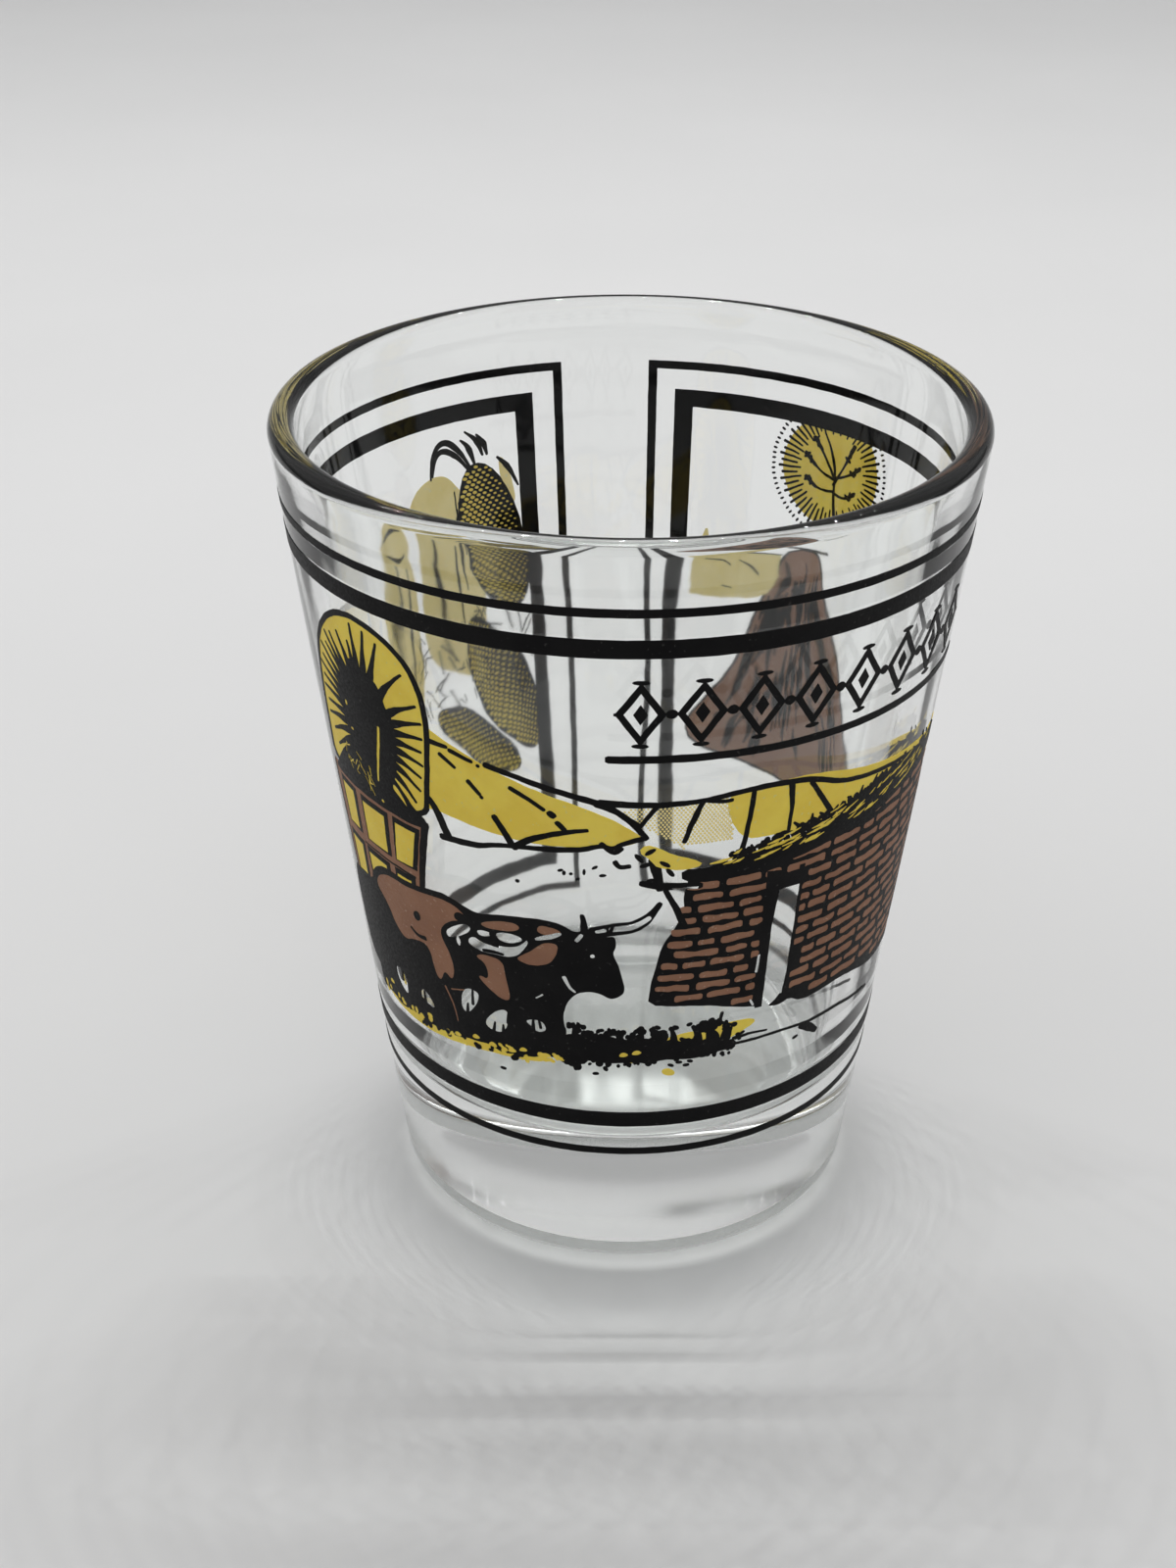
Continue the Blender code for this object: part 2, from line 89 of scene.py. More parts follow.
# Each deposit of ink, the ink it is in, and the CAD nodes it stands for
PANES = [f"wagon_pane_{i}_yellow" for i in range(1, 6)]
DEPOSITS = {
    "outer_rule": ("black", "border_outer_rule"),
    "inner_band": ("black", "border_inner_band"),
    "title_lozenges": ("black", "title_frieze"),
    "title_rule": ("black", "title_underline"),
    "cover_cloth": ("yellow", "wagon_cover_yellow"),
    "cover_lines": ("black", "wagon_cover_black"),
    "wagon_frame": ("brown", "wagon_box_brown"),
    "wagon_shading": ("black", "wagon_box_brown"),
    "wagon_panes": ("yellow", *PANES),
    "ox_hide": ("brown", "rear_ox_brown", "front_ox_brown"),
    "oxen_and_grass": ("black", "oxen_and_ground_black"),
    "left_verge": ("yellow", "grass_left_yellow"),
    "right_verge": ("yellow", "grass_right_yellow"),
    "left_hill": ("yellow", "hill_left_yellow"),
    "left_hill_lines": ("black", "hill_left_black"),
    "right_hill": ("yellow", "hill_right_yellow"),
    "right_hill_dots": ("tan", "hill_right_tan"),
    "right_hill_lines": ("black", "hill_right_black"),
    "house_bricks": ("brown", "house_wall_brown"),
    "house_mortar": ("black", "house_mortar_black"),
    "thatch": ("black", "thatch_black"),
    "eave": ("yellow", "eave_yellow"),
    "medallion": ("yellow", "sunburst_yellow"),
    "medallion_lines": ("black", "sunburst_black"),
    "rock": ("brown", "spire_brown"),
    "rock_hatching": ("black", "spire_black"),
    "bale": ("tan", "block_yellow"),
    "bale_lines": ("black", "block_black"),
    "kernels": ("yellow", "corn_ear_tall_yellow", "corn_ear_short_yellow"),
    "ear_net": ("black", "corn_ear_tall_black", "corn_ear_short_black"),
    "husks": ("tan", "husk_left_yellow", "husk_middle_yellow", "husk_right_yellow"),
    "husk_veins": ("black", "husk_veins_black"),
}


# ---------------- outlines on the unrolled wall


def sheet(angle, height):
    """A place on the unrolled wall, in millimetres."""
    return Vector((angle * MM_PER_DEGREE, height))


def eased(line, closed=True, times=2):
    """The line with its corners cut, which rounds them."""
    for _ in range(times):
        ends = list(zip(line, line[1:] + line[:1])) if closed else list(zip(line, line[1:]))
        cut = [p for a, b in ends for p in (a.lerp(b, 0.25), a.lerp(b, 0.75))]
        line = cut if closed else [line[0]] + cut[1:-1] + [line[-1]]
    return line


def shape(*places, soft=2):
    return eased([sheet(*place) for place in places], times=soft)


def rectangle(left, right, low, high):
    return shape((left, low), (right, low), (right, high), (left, high), soft=0)


def oval(angle, height, half_width, half_height, tilt=0.0, count=20):
    """A round shape; its half sizes are in millimetres and its tilt in degrees."""
    centre, turn = sheet(angle, height), math.radians(tilt)
    ring = []
    for i in range(count):
        step = 2 * math.pi * i / count
        x, y = half_width * math.cos(step), half_height * math.sin(step)
        ring.append(centre + Vector((x * math.cos(turn) - y * math.sin(turn),
                                     x * math.sin(turn) + y * math.cos(turn))))
    return ring


def pen_line(line, widths):
    """A pen stroke of changing width along a line of points, with round ends."""
    left, right = [], []
    for i, here in enumerate(line):
        along = (line[min(i + 1, len(line) - 1)] - line[max(i - 1, 0)]).normalized()
        place = i / (len(line) - 1) * (len(widths) - 1)
        near = min(int(place), len(widths) - 2) if len(widths) > 1 else 0
        after = widths[min(near + 1, len(widths) - 1)]
        half = (widths[near] + (after - widths[near]) * (place - near)) / 2
        across = Vector((-along.y, along.x)) * half
        if i == 0:
            left += [here - along * half * 0.7 - across * 0.6, here - along * half * 0.7 + across * 0.6]
        left.append(here + across)
        right.append(here - across)
        if i == len(line) - 1:
            left += [here + along * half * 0.7 + across * 0.6, here + along * half * 0.7 - across * 0.6]
    return (left + right[::-1])[::-1]


def pen(places, *widths, soft=2):
    return pen_line(eased([sheet(*place) for place in places], closed=False, times=soft), widths)


def grown(outline, distance):
    """A counterclockwise outline pushed outwards by a distance in millimetres."""
    out = []
    for before, here, after in zip(outline[-1:] + outline[:-1], outline, outline[1:] + outline[:1]):
        along = (after - before).normalized()
        out.append(here + Vector((along.y, -along.x)) * distance)
    return out


def resampled(outline):
    """The outline with points no further apart than the outline step."""
    out = []
    for a, b in zip(outline, outline[1:] + outline[:1]):
        count = max(1, math.ceil((b - a).length / OUTLINE_STEP))
        out += [a.lerp(b, i / count) for i in range(count)]
    return out


def wobbled(place, amount):
    """A place moved a little, as a hand-cut stencil and spreading ink leave it."""
    spot = Vector((place.x / WOBBLE_PITCH, place.y / WOBBLE_PITCH, 3.7))
    fine = noise.noise_vector(spot * 3.1) * 0.5
    shift = (noise.noise_vector(spot) + fine) * amount
    return Vector((place.x + shift.x, place.y + shift.y))


# ---------------- the printing engine


def inside(spots, ring):
    """Which spots lie in the ring, by winding number."""
    x, y = spots[:, 0, None], spots[:, 1, None]
    x0, y0 = ring[:, 0], ring[:, 1]
    x1, y1 = np.roll(x0, -1), np.roll(y0, -1)
    side = (x1 - x0) * (y - y0) - (x - x0) * (y1 - y0)
    up = (y0 <= y) & (y1 > y) & (side > 0)
    down = (y0 > y) & (y1 <= y) & (side < 0)
    return up.sum(1) != down.sum(1)


def wall_radius(height):
    return BASE_RADIUS + (RIM_RADIUS - BASE_RADIUS) * height / (HEIGHT - RIM_ROUND)


class Print:
    """One stretch of the picture. Later shapes knock out what lies under them, so inks never overlap."""

    def __init__(self, wobble=WOBBLE):
        self.layers, self.wobble = [], wobble

    def ink(self, piece, *outlines):
        for outline in outlines:
            ring = [wobbled(place, self.wobble) for place in resampled(outline)]
            self.layers.append((piece, np.array([place[:] for place in ring])))

    def bare(self, *outlines):
        self.ink(None, *outlines)

    def triangles(self):
        """Corner places, and each piece's triangles."""
        places, edges = [], []
        for _, ring in self.layers:
            first, count = len(places), len(ring)
            places += [Vector(p) for p in ring]
            edges += [(first + i, first + (i + 1) % count) for i in range(count)]
        pitch = CREASE_DEGREES * MM_PER_DEGREE
        span = [f(p.x for p in places) / pitch for f in (min, max)]
        low, high = min(p.y for p in places) - 1, max(p.y for p in places) + 1
        for i in range(math.floor(span[0]), math.ceil(span[1]) + 1):
            edges.append((len(places), len(places) + 1))
            places += [Vector((i * pitch, low)), Vector((i * pitch, high))]
        corners, _, faces, _, _, _ = delaunay_2d_cdt(places, edges, [], 0, 1e-5)
        corners, faces = np.array([c[:] for c in corners]), np.array(faces)
        middles = corners[faces].mean(1)
        owner = np.full(len(faces), -1)
        for layer, (_, ring) in enumerate(self.layers):
            lowest, highest = ring.min(0), ring.max(0)
            near = np.flatnonzero(((middles >= lowest) & (middles <= highest)).all(1))
            if len(near):
                owner[near[inside(middles[near], ring)]] = layer
        named = {}
        for layer in np.unique(owner[owner >= 0]):
            piece = self.layers[layer][0]
            if piece:
                named.setdefault(piece, []).append(faces[owner == layer])
        return corners, {piece: np.concatenate(found) for piece, found in named.items()}


def on_wall(places, lift):
    """Places on the sheet carried onto the glass's outer surface, in metres."""
    angle = np.radians(places[:, 0] / MM_PER_DEGREE)
    droop = SHEET_DROOP * (1 - np.cos(angle)) / 2 * places[:, 1] / SHEET_TOP
    height = (places[:, 1] + SHEET_RISE - droop) * MM
    radius = wall_radius(height) + lift
    return np.stack([radius * np.sin(angle), -radius * np.cos(angle), height], 1)


def film(name, corners, faces, lift):
    """A closed film of ink on the glass: an inner face, an outer face and the wall round its edge."""
    used, faces = np.unique(faces, return_inverse=True)
    faces = faces.reshape(-1, 3)
    flat, count = corners[used], len(used)
    sides = np.concatenate([faces[:, [0, 1]], faces[:, [1, 2]], faces[:, [2, 0]]])
    keys = {(a, b) for a, b in sides.tolist()}
    rim = [(a, b) for a, b in sides.tolist() if (b, a) not in keys]
    walls = [(a, b, b + count, a + count) for a, b in rim]
    mesh = bpy.data.meshes.new(name)
    mesh.from_pydata(np.concatenate([on_wall(flat, SUNK), on_wall(flat, lift)]).tolist(), [],
                     faces[:, ::-1].tolist() + (faces + count).tolist() + walls)
    mesh.validate()
    mesh.shade_smooth()
    mesh.set_sharp_from_angle(angle=math.radians(40))
    piece = bpy.data.objects.new(name, mesh)
    bpy.context.scene.collection.objects.link(piece)
    return piece


def press(printed):
    """Makes each piece of a print, in its ink, riding on the glass."""
    corners, named = printed.triangles()
    for name, faces in sorted(named.items()):
        ink, *cad_nodes = DEPOSITS[name]
        piece = film(name, corners, faces, INK_LIFT[ink])
        piece.data.materials.append(ENAMELS[ink])
        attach(piece, "root")
        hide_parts(*cad_nodes)


# ---------------- materials


def node(tree, kind, **settings):
    made = tree.nodes.new(kind)
    for name, value in settings.items():
        setattr(made, name, value)
    return made


def noise_texture(tree, coordinates, scale, detail=3.0, roughness=0.5):
    texture = node(tree, "ShaderNodeTexNoise")
    texture.inputs["Scale"].default_value = scale
    texture.inputs["Detail"].default_value = detail
    texture.inputs["Roughness"].default_value = roughness
    tree.links.new(coordinates, texture.inputs["Vector"])
    return texture.outputs["Fac"]


def ramp(tree, factor, *stops):
    """A colour ramp from (place, colour) stops."""
    made = node(tree, "ShaderNodeValToRGB")
    band = made.color_ramp.elements
    while len(band) < len(stops):
        band.new(0.5)
    for element, (place, colour) in zip(band, stops):
        element.position, element.color = place, (*colour, 1.0)
    tree.links.new(factor, made.inputs["Fac"])
    return made.outputs["Color"]


def spread(tree, factor, low, high, at=(0.35, 0.65)):
    """A number that runs from low to high while the factor crosses a range."""
    made = node(tree, "ShaderNodeMapRange")
    for name, value in zip(("From Min", "From Max", "To Min", "To Max"), (*at, low, high)):
        made.inputs[name].default_value = value
    tree.links.new(factor, made.inputs["Value"])
    return made.outputs["Result"]


def new_material(name):
    made = bpy.data.materials.new(name)
    made.use_nodes = True
    tree = made.node_tree
    return made, tree, tree.nodes["Principled BSDF"], node(tree, "ShaderNodeTexCoord").outputs["Object"]


def enamel(name, thin, full, worn, roughness, flecks, gloss, milky):
    """Fired screen ink: cloudy in thickness, with a fine tooth and pinholes. Light seeps through."""
    made, tree, shader, place = new_material(name)
    cloud = noise_texture(tree, place, 350.0, 4.0)
    grain = noise_texture(tree, place, 5200.0, 2.0)
    body = ramp(tree, cloud, (0.36, thin), (0.62, full))
    hole = spread(tree, noise_texture(tree, place, 3300.0, 1.0), 0.0, 1.0, flecks)
    mix = node(tree, "ShaderNodeMix", data_type="RGBA")
    first_colour, second_colour, mixed_colour = mix.inputs[6], mix.inputs[7], mix.outputs[2]
    tree.links.new(hole, mix.inputs["Factor"])
    tree.links.new(body, first_colour)
    second_colour.default_value = (*worn, 1.0)
    tree.links.new(mixed_colour, shader.inputs["Base Color"])
    tree.links.new(spread(tree, grain, *roughness), shader.inputs["Roughness"])
    bump = node(tree, "ShaderNodeBump")
    bump.inputs["Strength"].default_value = 0.35
    bump.inputs["Distance"].default_value = 0.02 * MM
    tree.links.new(grain, bump.inputs["Height"])
    tree.links.new(bump.outputs["Normal"], shader.inputs["Normal"])
    shader.inputs["IOR"].default_value = 1.5
    shader.inputs["Specular IOR Level"].default_value = gloss
    shader.inputs["Subsurface Weight"].default_value = milky
    shader.inputs["Subsurface Radius"].default_value = (1.0, 1.0, 1.0)
    shader.inputs["Subsurface Scale"].default_value = 0.25 * MM
    return made


def clear_glass(name, haze):
    """Soda-lime glass with faint ripples. Lamp and bounced light go straight through, least at the base."""
    made, tree, shader, place = new_material(name)
    shader.inputs["Base Color"].default_value = (0.985, 0.995, 0.988, 1.0)
    shader.inputs["Roughness"].default_value = haze
    shader.inputs["IOR"].default_value = 1.52
    shader.inputs["Transmission Weight"].default_value = 1.0
    ripple = node(tree, "ShaderNodeBump")
    ripple.inputs["Strength"].default_value = 0.25
    ripple.inputs["Distance"].default_value = 0.03 * MM
    tree.links.new(noise_texture(tree, place, 260.0, 2.0), ripple.inputs["Height"])
    tree.links.new(ripple.outputs["Normal"], shader.inputs["Normal"])
    through = node(tree, "ShaderNodeBsdfTransparent")
    split = node(tree, "ShaderNodeSeparateXYZ")
    tree.links.new(place, split.inputs["Vector"])
    depth = spread(tree, split.outputs["Z"], 0.0, 1.0, (0.0, FLOOR_HEIGHT + FLOOR_FILLET))
    shade = ramp(tree, depth, (0.05, (0.97, 0.98, 0.975)), (0.10, (0.34, 0.35, 0.35)),
                 (0.45, (0.48, 0.49, 0.49)), (0.65, (0.97, 0.98, 0.975)), (1.0, (0.94, 0.95, 0.945)))
    tree.links.new(shade, through.inputs["Color"])
    rays, seen = node(tree, "ShaderNodeLightPath"), shader.outputs["BSDF"]
    for kind in ("Is Shadow Ray", "Is Diffuse Ray"):
        mix = node(tree, "ShaderNodeMixShader")
        tree.links.new(rays.outputs[kind], mix.inputs["Fac"])
        tree.links.new(seen, mix.inputs[1])
        tree.links.new(through.outputs["BSDF"], mix.inputs[2])
        seen = mix.outputs["Shader"]
    tree.links.new(seen, tree.nodes["Material Output"].inputs["Surface"])
    return made


def paper():
    made, tree, shader, place = new_material("pale_paper")
    tone = noise_texture(tree, place, 9.0, 3.0)
    tree.links.new(ramp(tree, tone, (0.3, (0.76, 0.76, 0.76)), (0.7, (0.79, 0.79, 0.79))),
                   shader.inputs["Base Color"])
    shader.inputs["Roughness"].default_value = 0.8
    shader.inputs["Specular IOR Level"].default_value = 0.2
    return made


ENAMELS = {
    "black": enamel("black_enamel_finish", (0.010, 0.0095, 0.010), (0.005, 0.0048, 0.0055),
                    (0.040, 0.038, 0.037), (0.38, 0.52), (0.70, 0.76), 0.14, 0.0),
    "yellow": enamel("yellow_enamel_finish", (0.82, 0.59, 0.058), (0.76, 0.52, 0.040),
                     (0.70, 0.55, 0.14), (0.36, 0.50), (0.68, 0.76), 0.3, 0.5),
    "tan": enamel("tan_enamel_finish", (0.86, 0.66, 0.26), (0.80, 0.60, 0.20),
                  (0.72, 0.62, 0.33), (0.40, 0.54), (0.68, 0.76), 0.3, 0.6),
    "brown": enamel("brown_enamel_finish", (0.30, 0.155, 0.090), (0.26, 0.128, 0.072),
                    (0.36, 0.22, 0.15), (0.40, 0.55), (0.66, 0.74), 0.22, 0.3),
}


# ---------------- stage, light and camera


def make_camera():
    data = bpy.data.cameras.new("camera")
    data.lens, data.sensor_width = 54.1, 36.0
    data.clip_start, data.clip_end = 0.01, 5.0
    camera = bpy.data.objects.new("camera", data)
    camera.location = (-0.00279, -0.14895, 0.11334)
    camera.rotation_euler = (math.radians(90 - 29.10), 0.0, 0.0)
    bpy.context.scene.collection.objects.link(camera)
    bpy.context.scene.camera = camera


def make_floor():
    """A sheet of paper that runs flat under the glass and sweeps up far behind it."""
    half_width, front, bend, radius, rise = 0.55, -0.40, 0.45, 0.20, 0.25
    profile = [(front, 0.0), (bend, 0.0)]
    steps = 16
    for i in range(1, steps + 1):
        turn = math.pi / 2 * i / steps
        profile.append((bend + radius * math.sin(turn), radius * (1 - math.cos(turn))))
    profile.append((bend + radius, radius + rise))
    corners = [(side * half_width, y, z) for y, z in profile for side in (-1, 1)]
    faces = [(2 * i, 2 * i + 1, 2 * i + 3, 2 * i + 2) for i in range(len(profile) - 1)]
    mesh = bpy.data.meshes.new("paper_floor")
    mesh.from_pydata(corners, [], faces)
    mesh.shade_smooth()
    mesh.materials.append(paper())
    floor = bpy.data.objects.new("paper_floor", mesh)
    bpy.context.scene.collection.objects.link(floor)


def area_light(name, place, aim, width, depth, power, colour=(1.0, 1.0, 1.0)):
    data = bpy.data.lights.new(name, "AREA")
    data.shape, data.size, data.size_y = "RECTANGLE", width, depth
    data.energy, data.color = power, colour
    lamp = bpy.data.objects.new(name, data)
    lamp.location = place
    lamp.rotation_euler = (Vector(aim) - Vector(place)).to_track_quat("-Z", "Y").to_euler()
    bpy.context.scene.collection.objects.link(lamp)


def make_light():
    """A pale room, brightest overhead, with a strip of diodes above and behind the glass."""
    world = bpy.data.worlds.new("studio")
    bpy.context.scene.world = world
    world.use_nodes = True
    tree = world.node_tree
    background = tree.nodes["Background"]
    split = node(tree, "ShaderNodeSeparateXYZ")
    tree.links.new(node(tree, "ShaderNodeTexCoord").outputs["Generated"], split.inputs["Vector"])
    sky = ramp(tree, spread(tree, split.outputs["Z"], 0.0, 1.0, (-1.0, 1.0)),
               (0.46, (0.40, 0.40, 0.40)), (0.51, (0.20, 0.20, 0.205)), (0.59, (0.62, 0.62, 0.62)),
               (1.0, (0.88, 0.88, 0.88)))
    tree.links.new(sky, background.inputs["Color"])
    background.inputs["Strength"].default_value = 0.82
    diodes, length = 15, 0.52
    for i in range(diodes):
        place = (length * (i / (diodes - 1) - 0.5), 0.23, 0.46)
        area_light(f"diode_{i}", place, (0, 0, 0), 0.006, 0.006, 0.070)
    view = bpy.context.scene.view_settings
    view.view_transform = "Standard"
    view.gamma = 0.85


# ---------------- glass body


def arc(centre, radius, start, end, count):
    turns = [math.radians(start + (end - start) * i / count) for i in range(count + 1)]
    return [(centre[0] + radius * math.cos(t), centre[1] + radius * math.sin(t)) for t in turns]


def run(start, end, count):
    """Points spaced evenly from a start up to, but not including, an end."""
    return [tuple(a + (b - a) * i / count for a, b in zip(start, end)) for i in range(1, count)]


def glass_profile():
    """The inside, up from the middle of the cup's floor, then the outside, over the rim to the punt."""
    bead = (RIM_RADIUS - RIM_ROUND, HEIGHT - RIM_ROUND)
    fillet_height = FLOOR_HEIGHT + FLOOR_FILLET
    inner_low = wall_radius(fillet_height) - WALL_AT_FLOOR
    flat = inner_low - FLOOR_FILLET
    dish = [(flat * t, FLOOR_HEIGHT - FLOOR_DISH * (1 - t * t)) for t in (0.0, 0.2, 0.4, 0.6, 0.8)]
    cup = arc((flat, fillet_height), FLOOR_FILLET, -90, 0, 14)
    rim = arc(bead, RIM_ROUND, 180, 0, 18)
    foot = arc((wall_radius(HEEL_ROUND) - HEEL_ROUND, HEEL_ROUND), HEEL_ROUND, 0, -90, 12)
    punt = [(FOOT_INNER_RADIUS * t, PUNT_DEPTH * (1 - t * t)) for t in (1.0, 0.8, 0.6, 0.4, 0.2, 0.0)]
    cup_side = dish + cup
    lip, steps, rise = 2 * RIM_ROUND, 52, rim[0][1] - cup[-1][1]
    for i in range(1, steps):
        share = (1 - i / steps) ** 2
        height, depth = rim[0][1] - share * rise, share * rise / NECK_DEPTH
        neck = NECK * depth * math.exp(1 - depth)
        thickness = lip + (WALL_AT_FLOOR - lip) * share - neck
        cup_side.append((wall_radius(height) - thickness, height))
    return cup_side, rim + run(rim[-1], foot[0], 30) + foot + punt


def make_glass():
    """The turned tumbler. The inside of a pressed glass is never quite round, so it wavers a little."""
    cup_side, outer_side = glass_profile()
    profile = cup_side + outer_side
    corners, faces = [], []

    def ring(i):
        return 1 + (i - 1) * TURN_STEPS

    for i, (radius, height) in enumerate(profile):
        if radius < 1e-9:
            corners.append((0.0, 0.0, height))
            continue
        for j in range(TURN_STEPS):
            turn = 2 * math.pi * j / TURN_STEPS
            uneven = 0.0
            if i < len(cup_side):
                broad = Vector((math.cos(turn) * 1.6, math.sin(turn) * 1.6, height / (9 * MM)))
                drape = Vector((math.cos(turn) * 8.0, math.sin(turn) * 8.0, height / (13 * MM)))
                uneven = (0.06 * noise.noise(broad) + 0.032 * noise.noise(drape)) * MM
                uneven *= min(1.0, (HEIGHT - height) / (3 * MM))
            r = radius + uneven
            corners.append((r * math.cos(turn), r * math.sin(turn), height))
    last = len(profile) - 1
    for i in range(1, last - 1):
        for j in range(TURN_STEPS):
            k = (j + 1) % TURN_STEPS
            faces.append((ring(i) + j, ring(i) + k, ring(i + 1) + k, ring(i + 1) + j))
    end = len(corners) - 1
    for j in range(TURN_STEPS):
        k = (j + 1) % TURN_STEPS
        faces.append((0, ring(1) + k, ring(1) + j))
        faces.append((end, ring(last - 1) + j, ring(last - 1) + k))
    mesh = bpy.data.meshes.new("glass_tumbler")
    mesh.from_pydata(corners, [], [f[::-1] for f in faces])
    mesh.shade_smooth()
    for finish, haze in (("outside", 0.0), ("inside", 0.05), ("foot", 0.16)):
        mesh.materials.append(clear_glass(f"clear_glass_{finish}", haze))
    for face in mesh.polygons:
        if face.index < (len(cup_side) - 1) * TURN_STEPS:
            face.material_index = 1
        elif face.center.z < HEEL_ROUND / 3:
            face.material_index = 2
    glass = bpy.data.objects.new("glass_tumbler", mesh)
    bpy.context.scene.collection.objects.link(glass)
    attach(glass, "root")
    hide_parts("glass_body")


# ---------------- borders and title


def loop_of_rule(printed, piece, box, width):
    left, right, low, high = box
    side, half = width / 2 / MM_PER_DEGREE, width / 2
    printed.ink(piece, rectangle(left - side, right + side, low - half, high + half))
    printed.bare(rectangle(left + side, right - side, low + half, high - half))


def print_borders():
    rule, band = Print(wobble=0.02), Print(wobble=0.02)
    loop_of_rule(rule, "outer_rule", RULE_BOX, RULE_WIDTH)
    loop_of_rule(band, "inner_band", BAND_BOX, BAND_WIDTH)
    return [rule, band]


def print_title():
    """A frieze in place of lettering: open lozenges and small solid ones on a thread, over a rule."""
    printed = Print(wobble=0.03)
    first, pitch, count, middle = 1.0, 9.6, 8, 46.3
    thread = pen([(first - 4, middle), (first + pitch * count - 5, middle)], 0.22)
    printed.ink("title_lozenges", thread)
    for i in range(count):
        at = first + pitch * i
        printed.ink("title_lozenges", oval(at, middle, 1.45, 2.3, count=4))
        printed.bare(oval(at, middle, 0.95, 1.55, count=4))
        printed.ink("title_lozenges", oval(at, middle, 0.42, 0.75, count=4))
        for way in (-1, 1):
            printed.ink("title_lozenges", oval(at, middle + way * 2.3, 0.5, 0.16, count=10))
        if i < count - 1:
            printed.ink("title_lozenges", oval(at + pitch / 2, middle, 0.34, 0.34, count=12))
    printed.ink("title_rule", pen([(-4, 43.0), (36, 43.0), (76, 43.0)], 0.55))
    return printed


# ---------------- the front picture


def art_pens(art, piece):
    """A shorthand that draws pen lines of one piece."""

    def draw(places, *widths):
        art.ink(piece, pen(places, *widths))

    return draw


